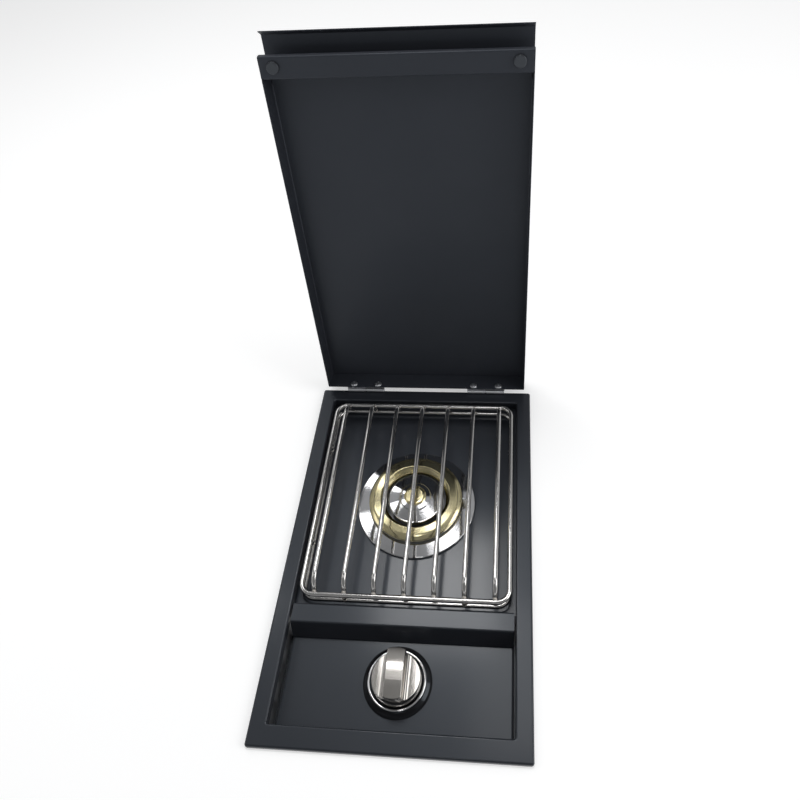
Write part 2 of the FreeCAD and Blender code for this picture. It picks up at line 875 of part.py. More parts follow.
def cut_ports(body, outer_radius, inner_radius, top_level, count):
    """Slots through a burner wall, right round it."""
    port = sketch_on(body, "YZ", inner_radius)
    rectangle(port, -s.port_width / 2, top_level - s.port_height, s.port_width / 2, top_level)
    slot = pocket(body, port, outer_radius - inner_radius, forward=True)
    repeat_round(body, [slot], count)


def flame_ring():
    bottom = s.bowl_top_level + s.seat_gap
    under = s.ring_top_level - s.ring_top_sheet
    outer = s.bowl_radius
    inner = chamber_inner
    wall = s.bowl_wall
    body = turned("flame_ring", [
        (inner, bottom), (inner + wall, bottom), (inner + wall, under), (outer - wall, under),
        (outer - wall, bottom), (outer, bottom), (outer, s.ring_top_level), (inner, s.ring_top_level),
    ], y=burner_y)
    cut_ports(body, outer + wall, inner - wall, under, s.outer_port_count)
    return body


def ring_cap():
    wall = s.cap_lip
    flat = s.ring_top_level
    spigot = chamber_inner - s.seat_gap
    throat = spigot - s.cap_spigot_wall
    crown = cap_radius - s.cap_crown_inset
    return turned("ring_cap", [
        (throat, s.cap_inner_level), (spigot, s.cap_inner_level), (spigot, flat),
        (cap_radius - wall, flat), (cap_radius - wall, flat - s.cap_drip), (cap_radius, flat - s.cap_drip),
        (cap_radius, s.cap_edge_level), (cap_radius - s.cap_shoulder_inset, s.cap_shoulder_level),
        (crown, s.cap_crown_level), (crown - s.cap_throat, s.cap_crown_level - wall),
        (throat, s.cap_inner_level + wall),
    ], [0, 0, 0, 0, 0, 0, s.cap_lip / 3, s.cap_shoulder_bend, s.cap_throat, 0, 0], y=burner_y)


def inner_burner_head():
    bottom = s.bowl_top_level + s.seat_gap
    under = s.head_top_level - s.head_top_sheet
    wall = s.bowl_wall
    outer = centre_wall
    body = turned("inner_burner_head", [
        (outer - wall, bottom), (outer, bottom), (outer, under - s.seat_gap), (head_radius, under),
        (head_radius, s.head_top_level), (0, s.head_top_level), (0, under), (outer - wall, under),
    ], y=burner_y)
    cut_ports(body, outer + wall, outer - wall * 2, under - 1, s.inner_port_count)
    return body


def inner_cap():
    """The polished cap: a cone that rises to a raised hub, where the dome sits."""
    hub_inner_level = s.hub_level + s.hub_rise
    return turned("inner_cap", [
        (0, s.head_top_level), (inner_cap_radius, s.head_top_level), (inner_cap_radius, s.inner_cap_rim_level),
        (inner_cap_radius - s.inner_cap_rim, s.inner_cap_rim_level), (cone_top, s.cone_top_level),
        (hub_radius, s.hub_level), (dome_radius, hub_inner_level), (0, hub_inner_level),
    ], [0, 0, s.inner_cap_rim / 3, s.inner_cap_rim, 0.6, 0.6, 0, 0], y=burner_y)


def centre_dome():
    seat = s.hub_level + s.hub_rise
    edge = dome_radius - s.seat_gap
    return turned("centre_dome", [
        (0, seat), (edge, seat), (dome_radius - s.dome_bend / 2, s.dome_level), (0, s.dome_level),
    ], [0, 0, s.dome_bend, 0], y=burner_y)


def drip_ring():
    body = new_body("drip_ring", y=burner_y)
    profile = sketch_on(body, "XZ")
    edge = drip_inner + s.drip_width
    folded_strip(profile, [
        (edge, s.tray_floor_level + s.seat_gap), (edge, s.drip_edge_level),
        (drip_inner + s.drip_sheet, s.drip_top_level),
        (drip_inner, s.drip_top_level - s.drip_lip),
    ], s.drip_sheet, s.drip_bend)
    revolve(body, profile)
    hole = sketch_on(body, "XY", s.drip_top_level)
    circle(hole, electrode_side, s.electrode_back, s.ceramic_radius + s.ceramic_hole_gap)
    pocket(body, hole, s.drip_top_level - s.tray_floor_level)
    return body


# Ignition

def electrode_ceramic():
    under = s.tray_floor_level - s.tray_sheet
    top = s.ceramic_top_level
    bore = s.electrode_wire + s.running_gap
    return turned("electrode_ceramic", [
        (bore, s.ceramic_bottom_level), (s.ceramic_radius, s.ceramic_bottom_level),
        (s.ceramic_radius, under - s.ceramic_collar), (s.ceramic_collar_radius, under - s.ceramic_collar),
        (s.ceramic_collar_radius, under), (s.ceramic_radius, under), (s.ceramic_radius, top - s.ceramic_taper),
        (s.ceramic_tip_radius, top), (bore, top),
    ], x=electrode_side, y=burner_y + s.electrode_back)


def electrode_wire():
    body = new_body("electrode_wire", electrode_side, burner_y + s.electrode_back)
    top = s.ceramic_top_level + s.electrode_rise
    path = sketch_on(body, "XZ")
    outline(path, [(0, s.ceramic_bottom_level), (0, top), (-s.electrode_reach, top)],
            s.electrode_bend, closed=False)
    profile = sketch_on(body, "XY", s.ceramic_bottom_level)
    circle(profile, 0, 0, s.electrode_wire)
    pipe(body, profile, path)
    return body


def electrode_clip():
    body = new_body("electrode_clip", electrode_side, burner_y + s.electrode_back)
    under = s.tray_floor_level - s.tray_sheet
    collar_under = under - s.ceramic_collar
    section = sketch_on(body, "XZ")
    half = s.clip_width / 2
    folded_strip(section, [
        (-half, collar_under - s.clip_sheet), (half, collar_under - s.clip_sheet),
        (half, under - s.clip_sheet), (s.clip_reach, under - s.clip_sheet),
    ], s.clip_sheet, s.clip_sheet * 1.5)
    pad(body, section, s.clip_width, symmetric=True)
    hole = sketch_on(body, "XY", collar_under)
    circle(hole, 0, 0, s.ceramic_radius + s.running_gap)
    pocket(body, hole, s.clip_sheet)
    return body


# The lead's bends: how much of the way across and along it has gone, and the level
LEAD_BENDS = [
    (0, 0, -82), (0.073, 0.188, -87), (0.268, 0.377, -84), (0.512, 0.565, -88), (0.78, 0.762, -85),
    (1, 0.892, -88), (1, 1, -84),
]


def ignition_lead():
    """The insulated lead from the electrode's foot to the igniter, held at both ends."""
    first = FreeCAD.Vector(electrode_side.number, (burner_y + s.electrode_back).number,
                           s.ceramic_bottom_level.number)
    last = FreeCAD.Vector((s.valve_radius + s.igniter_width / 2).number, knob_y.number,
                          s.igniter_bottom_level.number)
    way = last - first
    points = [first]
    for across, along, level in LEAD_BENDS:
        points.append(FreeCAD.Vector(first.x + way.x * across, first.y + way.y * along, level))
    points.append(last)
    edges = []
    reached = points[0]
    for i in range(1, len(points) - 1):
        before, here, after = points[i - 1], points[i], points[i + 1]
        run = min((here - before).Length, (after - here).Length)
        half_turn = (here - before).getAngle(after - here) / 2
        radius = 0.45 * run / math.tan(half_turn)
        print("lead radius %.1f" % radius)
        start, middle, end = corner_arc(before, here, after, radius)
        edges.append(Part.LineSegment(reached, start).toShape())
        edges.append(Part.Arc(start, middle, end).toShape())
        reached = end
    edges.append(Part.LineSegment(reached, points[-1]).toShape())
    route = Part.Wire(edges)
    lead = s.lead_radius.number
    section = Part.Wire(Part.makeCircle(lead, points[0], points[1] - points[0]))
    tube = route.makePipeShell([section], True, False)
    expected = math.pi * lead ** 2 * route.Length
    print("lead volume over section times length %.4f" % (tube.Volume / expected))
    feature = doc.addObject("Part::Feature", "ignition_lead")
    feature.Label = "ignition_lead"
    feature.Shape = tube
    feature.Placement = FreeCAD.Placement(FreeCAD.Vector(0, 0, s.rim_height.number), FreeCAD.Rotation())
    return feature


def piezo_igniter():
    body = new_body("piezo_igniter", y=knob_y)
    base = sketch_on(body, "XY", s.igniter_bottom_level)
    half = s.igniter_length / 2
    rectangle(base, s.valve_radius, -half, s.valve_radius + s.igniter_width, half, s.igniter_corner)
    pad(body, base, s.igniter_top_level - s.igniter_bottom_level)
    return body


# Knob and bezel

def bezel_base():
    return turned("bezel_base", [
        (s.bezel_inner_radius, s.panel_level), (s.bezel_radius, s.panel_level),
        (s.bezel_radius, s.panel_level + s.bezel_edge), (s.bezel_shoulder_radius, s.bezel_shoulder_level),
        (s.bezel_top_radius, s.bezel_top_level), (s.bezel_inner_radius, s.bezel_top_level),
    ], [0, 0, 0.5, 2, 0, 0], y=knob_y)


def bezel_ring():
    return turned("bezel_ring", [
        (s.bezel_ring_inner_radius, s.bezel_top_level), (s.bezel_ring_radius, s.bezel_top_level),
        (s.bezel_ring_radius, s.bezel_ring_level), (s.bezel_ring_inner_radius, s.bezel_ring_level),
    ], [0, 0, s.bezel_ring_bend, s.bezel_ring_bend], y=knob_y)


def knob():
    """The knob: a flared skirt, a grip with rounded ends across it, and a scooped wing on each side."""
    roof = s.knob_top_level - s.knob_wall
    body = turned("knob", [
        (0, roof), (s.knob_top_radius - s.knob_wall, roof), (s.knob_radius - s.knob_wall, s.knob_bottom_level),
        (s.knob_radius, s.knob_bottom_level), (s.knob_top_radius, s.knob_top_level), (0, s.knob_top_level),
    ], [0, s.grip_edge, 0, s.grip_edge, 0, 0], y=knob_y)
    grip = sketch_on(body, "XY", roof)
    circle(grip, 0, 0, s.knob_top_radius)
    pad(body, grip, s.grip_level - roof)
    wings = sketch_on(body, "XZ")
    half = s.grip_width / 2
    clear = s.knob_radius + 1
    above = s.grip_level + 1
    outline(wings, [(half, above), (half, s.wing_level), (clear, s.wing_level - s.wing_drop), (clear, above)],
            [0, s.wing_bend, 0, 0])
    outline(wings, [(-half, above), (-clear, above), (-clear, s.wing_level - s.wing_drop), (-half, s.wing_level)],
            [0, 0, 0, s.wing_bend])
    pocket(body, wings, clear * 2, symmetric=True)
    crown = sketch_on(body, "YZ")
    end = s.knob_top_radius + 1
    outline(crown, [
        (-end, s.grip_level - s.grip_crown), (0, s.grip_level + s.grip_crown / 2),
        (end, s.grip_level - s.grip_crown), (end, s.grip_level + s.grip_crown),
        (-end, s.grip_level + s.grip_crown),
    ], [0, s.grip_crown_bend / 2, 0, 0, 0])
    pocket(body, crown, clear * 2, symmetric=True)
    top_least = s.grip_level.number - s.grip_crown.number - 0.5
    round_edges(body, s.grip_edge, lambda p: p.z > top_least)
    boss = sketch_on(body, "XY", roof)
    circle(boss, 0, 0, s.boss_radius)
    pad(body, boss, roof - s.boss_level, forward=False)
    bore = sketch_on(body, "XY", s.boss_level)
    stem_section(bore, s.stem_radius + s.running_gap)
    pocket(body, bore, s.stem_top_level - s.boss_level, forward=True)
    return body


def stem_section(made, radius):
    """The stem's round section with its flat side, also for the bores it fits."""
    flat = radius - s.stem_flat
    half = root(radius * radius - flat * flat)
    right = vector((half, flat))
    left = vector((-half, flat))
    curve = made.addGeometry(Part.Arc(left, FreeCAD.Vector(0, -radius.number, 0), right), False)
    line = made.addGeometry(Part.LineSegment(right, left), False)
    made.addConstraint(Sketcher.Constraint("Coincident", line, 1, curve, 2))
    made.addConstraint(Sketcher.Constraint("Coincident", line, 2, curve, 1))
    made.addConstraint(Sketcher.Constraint("Horizontal", line))
    fix_point(made, curve, 3, (0, 0))
    fix_point(made, line, 1, (half, flat))


def valve_stem():
    body = new_body("valve_stem", y=knob_y)
    base = sketch_on(body, "XY", s.stem_bottom_level)
    stem_section(base, s.stem_radius)
    pad(body, base, s.stem_top_level - s.stem_bottom_level)
    neck = sketch_on(body, "XY", collar_bottom_level)
    circle(neck, 0, 0, s.stem_radius)
    pad(body, neck, s.stem_collar + s.collar_gap + s.bonnet_sheet)
    collar = sketch_on(body, "XY", collar_bottom_level)
    circle(collar, 0, 0, s.stem_collar_radius)
    pad(body, collar, s.stem_collar)
    return body


# Gas valve

def stem_spring():
    """A coil between the plug and the stem's collar, as one plain sleeve."""
    low = s.plug_top_level
    high = collar_bottom_level - s.spring_end_gap
    inner = s.stem_radius + s.spring_gap
    return turned("stem_spring", [
        (inner, low), (s.stem_collar_radius, low), (s.stem_collar_radius, high), (inner, high),
    ], y=knob_y)


def valve_plug():
    body = new_body("valve_plug", y=knob_y)
    base = sketch_on(body, "XY", s.plug_bottom_level)
    circle(base, 0, 0, s.valve_chamber_radius - s.running_gap)
    pad(body, base, s.plug_top_level - s.plug_bottom_level)
    socket = sketch_on(body, "XY", socket_level)
    stem_section(socket, s.stem_radius + s.running_gap)
    pocket(body, socket, s.plug_top_level - socket_level, forward=True)
    port = sketch_on(body, "XZ")
    circle(port, 0, (socket_level + s.plug_bottom_level) / 2, s.plug_port_radius)
    pocket(body, port, s.valve_radius * 2, symmetric=True)
    return body


def valve_body():
    body = new_body("valve_body", y=knob_y)
    top = bonnet_bottom_level
    block = sketch_on(body, "XY", s.valve_bottom_level)
    circle(block, 0, 0, s.valve_radius)
    pad(body, block, top - s.valve_bottom_level)
    inlet = sketch_on(body, "YZ")
    circle(inlet, 0, s.tube_level, s.spigot_radius)
    pad(body, inlet, s.inlet_spigot_end, forward=False)
    outlet = sketch_on(body, "XZ")
    circle(outlet, 0, s.tube_level, s.spigot_radius)
    pad(body, outlet, s.outlet_spigot_end, forward=False)
    inlet_bore = sketch_on(body, "YZ")
    circle(inlet_bore, 0, s.tube_level, s.spigot_bore)
    pocket(body, inlet_bore, s.inlet_spigot_end)
    outlet_bore = sketch_on(body, "XZ")
    circle(outlet_bore, 0, s.tube_level, s.spigot_bore)
    pocket(body, outlet_bore, s.outlet_spigot_end)
    chamber = sketch_on(body, "XY", top)
    circle(chamber, 0, 0, s.valve_chamber_radius)
    pocket(body, chamber, top - s.plug_bottom_level + s.seat_gap)
    return body


def valve_bonnet():
    body = new_body("valve_bonnet", y=knob_y)
    plate = sketch_on(body, "XY", bonnet_bottom_level)
    half_length = s.bonnet_length / 2
    half_width = s.bonnet_width / 2
    rectangle(plate, -half_length, -half_width, half_length, half_width, s.bonnet_corner)
    circle(plate, 0, 0, s.stem_radius + s.running_gap)
    for side in (-1, 1):
        circle(plate, s.valve_screw_spread * side, 0, s.valve_screw_radius)
    pad(body, plate, s.bonnet_sheet)
    return body


def valve_screws():
    """The two screws that hold the valve's bonnet under the panel."""
    body = new_body("valve_screws", y=knob_y)
    for offset, radius, thickness in (
        (bonnet_bottom_level, s.valve_screw_radius, s.panel_level - bonnet_bottom_level),
        (s.panel_level, s.valve_screw_head_radius, s.valve_screw_head),
    ):
        made = sketch_on(body, "XY", offset)
        for side in (-1, 1):
            circle(made, s.valve_screw_spread * side, 0, radius)
        pad(body, made, thickness)
    return body


def injector():
    body = new_body("injector", y=knob_y)
    hex_start = s.outlet_spigot_end
    base = sketch_on(body, "XZ", -hex_start)
    hexagon(base, 0, s.tube_level, s.injector_hex)
    pad(body, base, s.injector_body, forward=False)
    tip = sketch_on(body, "XZ", -(hex_start + s.injector_body))
    circle(tip, 0, s.tube_level, s.injector_tip_radius)
    pad(body, tip, s.injector_tip, forward=False)
    bore = sketch_on(body, "XZ", -hex_start)
    circle(bore, 0, s.tube_level, s.injector_bore)
    pocket(body, bore, s.injector_body + s.injector_tip)
    return body


def air_shutter():
    body = new_body("air_shutter", z=s.rim_height + s.tube_level)
    inner = s.tube_radius + s.shutter_gap
    outer = inner + s.shutter_wall
    sleeve = sketch_on(body, "XZ", -shutter_front)
    circle(sleeve, 0, 0, outer)
    circle(sleeve, 0, 0, inner)
    pad(body, sleeve, shutter_back - shutter_front, forward=False)
    disc = sketch_on(body, "XZ", -shutter_front)
    circle(disc, 0, 0, outer)
    circle(disc, 0, 0, s.injector_hex / math.sqrt(3) + s.seat_gap)
    pad(body, disc, s.shutter_wall, forward=False)
    window = sketch_on(body, "XY")
    start = shutter_front + s.shutter_wall + 1
    rectangle(window, -s.window_width / 2, start, s.window_width / 2, start + s.window_length)
    opening = pocket(body, window, outer + 1)
    repeat_round(body, [opening], s.window_count, "Y")
    screw_hole = sketch_on(body, "XY")
    circle(screw_hole, 0, (shutter_back + tube_end) / 2, s.shutter_screw_radius + s.running_gap)
    pocket(body, screw_hole, outer + 1, forward=True)
    return body


def shutter_screw():
    outer = s.tube_radius + s.shutter_gap + s.shutter_wall
    top = outer + s.shutter_screw_head
    body = new_body("shutter_screw", 0, (shutter_back + tube_end) / 2, s.rim_height + s.tube_level)
    profile = sketch_on(body, "XZ")
    outline(profile, [
        (0, s.tube_radius), (s.shutter_screw_radius, s.tube_radius), (s.shutter_screw_radius, outer),
        (s.shutter_screw_head_radius, outer), (s.shutter_screw_head_radius, top), (0, top),
    ])
    revolve(body, profile)
    return body


# Gas line

def gas_pipe():
    body = new_body("gas_pipe", z=s.rim_height + s.tube_level)
    start = -s.inlet_spigot_end
    end = casing_back - s.inlet_hex_length
    path = sketch_on(body, "XY")
    outline(path, [(start, knob_y), (pipe_x, knob_y), (pipe_x, end)],
            s.pipe_bend, closed=False)
    profile = sketch_on(body, "YZ", start)
    circle(profile, knob_y, 0, s.pipe_radius)
    pipe(body, profile, path)
    return body


def pipe_nuts():
    """The nuts that join the pipe to the valve and to the inlet."""
    body = new_body("pipe_nuts", z=s.rim_height + s.tube_level)
    at_valve = sketch_on(body, "YZ", -s.inlet_spigot_end)
    hexagon(at_valve, knob_y, 0, s.pipe_nut_hex)
    circle(at_valve, knob_y, 0, s.pipe_radius)
    pad(body, at_valve, s.pipe_nut, forward=False)
    at_inlet = sketch_on(body, "XZ", s.inlet_hex_length - casing_back)
    hexagon(at_inlet, pipe_x, 0, s.pipe_nut_hex)
    circle(at_inlet, pipe_x, 0, s.pipe_radius)
    pad(body, at_inlet, s.pipe_nut)
    return body


def inlet_fitting():
    body = new_body("inlet_fitting", pipe_x, 0, s.rim_height + s.tube_level)
    shoulder = sketch_on(body, "XZ", s.inlet_hex_length - casing_back)
    hexagon(shoulder, 0, 0, s.inlet_hex)
    pad(body, shoulder, s.inlet_hex_length, forward=False)
    neck = sketch_on(body, "XZ", -casing_back)
    circle(neck, 0, 0, s.inlet_neck_radius)
    pad(body, neck, s.casing_sheet + s.inlet_nut + s.inlet_relief, forward=False)
    thread = sketch_on(body, "XZ", -(inlet_wall + s.inlet_nut + s.inlet_relief))
    circle(thread, 0, 0, s.inlet_thread_radius)
    pad(body, thread, s.inlet_thread, forward=False)
    bore = sketch_on(body, "XZ", -casing_back)
    circle(bore, 0, 0, s.inlet_bore)
    pocket(body, bore, s.casing_sheet + s.inlet_nut + s.inlet_relief + s.inlet_thread)
    return body


def inlet_nut():
    body = new_body("inlet_nut", pipe_x, 0, s.rim_height + s.tube_level)
    made = sketch_on(body, "XZ", -inlet_wall)
    hexagon(made, 0, 0, s.inlet_nut_hex)
    circle(made, 0, 0, s.inlet_neck_radius)
    pad(body, made, s.inlet_nut, forward=False)
    return body


def pipe_clip():
    body = new_body("pipe_clip", pipe_x, s.clip_place, s.rim_height + s.tube_level)
    sheet = s.clip_sheet
    wall = -casing_x - pipe_x
    loop = s.pipe_radius + s.running_gap + sheet
    arm = sketch_on(body, "XZ")
    rectangle(arm, wall, -s.clip_wall_height / 2, wall + sheet, s.clip_wall_height / 2)
    pad(body, arm, s.clip_width, symmetric=True)
    strap = sketch_on(body, "XZ")
    rectangle(strap, wall, -sheet / 2, -loop + sheet / 2, sheet / 2)
    pad(body, strap, s.clip_width, symmetric=True)
    saddle = sketch_on(body, "XZ")
    circle(saddle, 0, 0, loop)
    circle(saddle, 0, 0, loop - sheet)
    pad(body, saddle, s.clip_width, symmetric=True)
    return body


# Lid, drawn closed: the way from the hinge to the front is -Y and the skin is at the top

def lid_skin():
    body = lid_body("lid_skin")
    sheet = s.lid_sheet
    half = lid_width / 2
    side_end = band_web - sheet
    skin_end = lid_front + s.lip_length
    fold = s.lip_angle + 180
    section = sketch_on(body, "XZ", s.lid_back)
    folded_strip(section, [(half, 0), (half, s.lid_depth), (-half, s.lid_depth), (-half, 0)],
                 sheet, s.lid_bend)
    pad(body, section, side_end - s.lid_back)
    back = sketch_on(body, "XZ", s.lid_back)
    outline(back, [(half, 0), (half, s.lid_depth), (-half, s.lid_depth), (-half, 0)],
            [0, s.lid_bend, s.lid_bend, 0])
    pad(body, back, sheet)
    front = sketch_on(body, "YZ")
    folded_strip(front, [
        (-side_end, s.lid_depth), (-skin_end, s.lid_depth),
        (-skin_end + s.lip_fold * cosine(fold), s.lid_depth + s.lip_fold * sine(fold)),
    ], sheet, s.lip_bend)
    pad(body, front, lid_width, symmetric=True)
    back_y = -s.lid_back.number
    round_edges(body, s.lid_bend - sheet, lambda p: near(p.y, back_y) and near(p.z, s.lid_depth))
    holes = sketch_on(body, "XZ", s.lid_back)
    for place in lid_screw_places():
        circle(holes, place, s.lid_screw_place, s.lid_screw_radius + s.running_gap)
    pocket(body, holes, sheet, forward=True)
    return body


def lid_screw_places():
    """How far across the four screws through the hinge leaves and the lid's back wall are."""
    return [hinge_x * side + s.lid_screw_spread * end for side in (-1, 1) for end in (-1, 1)]


def lid_front_channel():
    body = lid_body("lid_front_channel")
    sheet = s.lid_sheet
    under_skin = s.lid_depth - sheet
    hem = lid_front - sheet
    section = sketch_on(body, "YZ")
    folded_strip(section, [
        (s.channel_flange - band_web, under_skin), (-band_web, under_skin), (-band_web, sheet), (-hem, sheet),
        (-hem, s.band_upturn),
    ], sheet, s.band_bend)
    pad(body, section, lid_width, symmetric=True)
    ends = sketch_on(body, "XY", under_skin - sheet)
    half = lid_width / 2
    inside = half - s.lid_bend
    for left, right in ((-half, -inside), (inside, half)):
        rectangle(ends, left, sheet - band_web, right, s.channel_flange - band_web)
    pocket(body, ends, sheet, forward=True)
    return body


def lid_screws():
    body = lid_body("lid_screws")
    wall_face = s.lid_back + s.lid_sheet
    heads = sketch_on(body, "XZ", wall_face)
    shanks = sketch_on(body, "XZ", wall_face)
    for place in lid_screw_places():
        circle(heads, place, s.lid_screw_place, s.lid_screw_head_radius)
        circle(shanks, place, s.lid_screw_place, s.lid_screw_radius)
    pad(body, heads, s.lid_screw_head)
    pad(body, shanks, s.lid_sheet + s.hinge_leaf, forward=False)
    round_edges(body, s.lid_screw_head / 2, lambda p: near(p.y, -wall_face - s.lid_screw_head))
    return body


def bumper(side, name):
    body = lid_body("bumper_" + name)
    made = sketch_on(body, "XY")
    circle(made, bumper_x * side, s.bumper_inset - lid_front, s.bumper_radius)
    height = s.hinge_rise - s.seat_gap
    pad(body, made, height, forward=False)
    round_edges(body, s.bumper_edge, lambda p: near(p.z, -height))
    return body


# Hinges: the lid's knuckle is the left half and the frame's knuckle the right half

def lid_hinge(side, name):
    """The leaf on the outer face of the lid's back wall, with its knuckle."""
    body = lid_body("lid_hinge_" + name)
    centre = hinge_x * side
    half = s.hinge_width / 2
    gap = s.knuckle_gap / 2
    leaf_face = s.lid_back - s.hinge_leaf
    leaf = sketch_on(body, "XZ", leaf_face)
    rectangle(leaf, centre - half, 0, centre + half, s.lid_leaf_height)
    pad(body, leaf, s.hinge_leaf)
    under = s.knuckle_radius - s.hinge_leaf
    tongue = sketch_on(body, "XY", under)
    rectangle(tongue, centre - half, -s.lid_back, centre - gap, 0)
    pad(body, tongue, s.hinge_leaf)
    knuckle = sketch_on(body, "YZ", centre - half)
    circle(knuckle, 0, 0, s.knuckle_radius)
    pad(body, knuckle, half - gap)
    bore = sketch_on(body, "YZ", centre - half)
    circle(bore, 0, 0, s.hinge_pin_radius + s.running_gap)
    pocket(body, bore, half - gap, forward=True)
    holes = sketch_on(body, "XZ", leaf_face)
    for end in (-1, 1):
        circle(holes, centre + s.lid_screw_spread * end, s.lid_screw_place, s.lid_screw_radius + s.running_gap)
    pocket(body, holes, s.hinge_leaf, forward=True)
    return body


def frame_hinge(side, name):
    """The leaf on the frame's back edge, with its knuckle and the stop that holds the open lid."""
    body = new_body("frame_hinge_" + name, hinge_x * side, hinge_y, hinge_z)
    half = s.hinge_width / 2
    gap = s.knuckle_gap / 2
    inside = s.hinge_back
    outside = inside + s.frame_leaf
    back = outside + s.stop_thickness
    foot = s.frame_leaf_foot - s.hinge_rise
    lean = s.lid_angle - 90
    stop_top = (s.lid_back - s.hinge_leaf - back * sine(lean)) / cosine(lean) - s.stop_gap
    stop = sketch_on(body, "YZ")
    outline(stop, [
        (inside, foot), (back, foot), (back, stop_top), (outside, stop_top), (outside, -s.hinge_rise),
        (inside, -s.hinge_rise),
    ])
    pad(body, stop, half * 2, symmetric=True)
    arm_top = s.frame_leaf - s.knuckle_radius
    arm = sketch_on(body, "YZ", gap)
    rectangle(arm, 0, -s.knuckle_radius, outside, arm_top)
    pad(body, arm, half - gap)
    knuckle = sketch_on(body, "YZ", gap)
    circle(knuckle, 0, 0, s.knuckle_radius)
    pad(body, knuckle, half - gap)
    bore = sketch_on(body, "YZ", gap)
    circle(bore, 0, 0, s.hinge_pin_radius)
    pocket(body, bore, half - gap, forward=True)
    return body


def hinge_pin(side, name):
    body = new_body("hinge_pin_" + name, hinge_x * side, hinge_y, hinge_z)
    half = s.hinge_width / 2
    made = sketch_on(body, "YZ")
    circle(made, 0, 0, s.hinge_pin_radius)
    pad(body, made, half * 2, symmetric=True)
    return body


# Grate of polished wire

def wire_loop(label, level):
    body = new_body(label, y=burner_y)
    path = sketch_on(body, "XY", level)
    plan(path, loop_x, -loop_y, loop_y, s.loop_corner)
    profile = sketch_on(body, "YZ")
    circle(profile, -loop_y, level, s.wire_radius)
    pipe(body, profile, path)
    return body


def without(label, blank, tools):
    """A sub-part that is a blank with the tools' solids cut away, so that welded wires meet face to face."""
    tool = doc.addObject("Part::Compound", label + "_tools")
    tool.Links = tools
    cut = doc.addObject("Part::Cut", label)
    cut.Label = label
    cut.Base = blank
    cut.Tool = tool
    return cut


def grate_bars(upper_loop):
    """Bars with both ends bent down and welded to the inner side of the loop's wire."""
    blank = new_body("bar_blank", y=burner_y)
    slope = cosine(s.rod_leg_angle) / sine(s.rod_leg_angle)
    corner = loop_y - s.leg_inset - s.rod_level * slope
    foot = loop_y - s.leg_inset - s.rod_weld * slope
    first = rod_pitch * (1 - s.rod_count) / 2
    path = sketch_on(blank, "YZ", first)
    outline(path, [(-foot, s.rod_weld), (-corner, s.rod_level), (corner, s.rod_level), (foot, s.rod_weld)],
            s.rod_bend, closed=False)
    section = sketch_on(blank, "XZ")
    circle(section, first, s.rod_level, s.wire_radius)
    rod = pipe(blank, section, path)
    repeat_in_line(blank, [rod], "X", rod_pitch, s.rod_count)
    return without("grate_bars", blank, [upper_loop])


def grate_posts(upper_loop, lower_loop):
    """Short posts that hold the upper loop over the lower one."""
    blank = new_body("post_blank", y=burner_y)
    made = sketch_on(blank, "XY", lower_loop_level)
    for side in (-1, 1):
        for place in (-1, 1):
            circle(made, post_x * place, loop_y * side, s.post_radius)
            circle(made, loop_x * side, post_y * place, s.post_radius)
    pad(blank, made, -lower_loop_level)
    return without("grate_posts", blank, [upper_loop, lower_loop])


def check_objects():
    """Stop if any object of the document failed."""
    for item in doc.Objects:
        if "Invalid" in item.State or "Error" in item.State:
            raise RuntimeError("%s (%s) failed: %s" % (item.Name, item.Label, item.State))


def write_parts(parts):
    """Write each sub-part's shape to its own file."""
    for part in parts:
        shape = part.Shape
        if shape.isNull() or not shape.isValid() or shape.Volume <= 0:
            raise RuntimeError("bad shape in " + part.Label)
    os.makedirs("parts", exist_ok=True)
    for part in parts:
        part.Shape.exportStep("parts/%s.step" % part.Label)


parts = [
    top_frame(), casing(), cross_bar(), control_panel(), burner_tray(),
    burner_bowl(), flame_ring(), ring_cap(), inner_burner_head(), inner_cap(), centre_dome(), drip_ring(),
    electrode_ceramic(), electrode_wire(), electrode_clip(), ignition_lead(), piezo_igniter(),
    bezel_base(), bezel_ring(), knob(), valve_stem(), stem_spring(), valve_plug(), valve_body(),
    valve_bonnet(), valve_screws(), injector(), air_shutter(), shutter_screw(),
    gas_pipe(), pipe_nuts(), inlet_fitting(), inlet_nut(), pipe_clip(),
    lid_skin(), lid_front_channel(), lid_screws(),
]
for side, name in ((-1, "left"), (1, "right")):
    parts += [bumper(side, name), lid_hinge(side, name), frame_hinge(side, name), hinge_pin(side, name)]
upper_loop = wire_loop("grate_upper_loop", 0)
lower_loop = wire_loop("grate_lower_loop", lower_loop_level)
parts += [upper_loop, lower_loop, grate_bars(upper_loop), grate_posts(upper_loop, lower_loop)]

doc.recompute()
check_objects()
write_parts(parts)
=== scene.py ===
import math

import bmesh
import bpy
from mathutils import Matrix, Vector


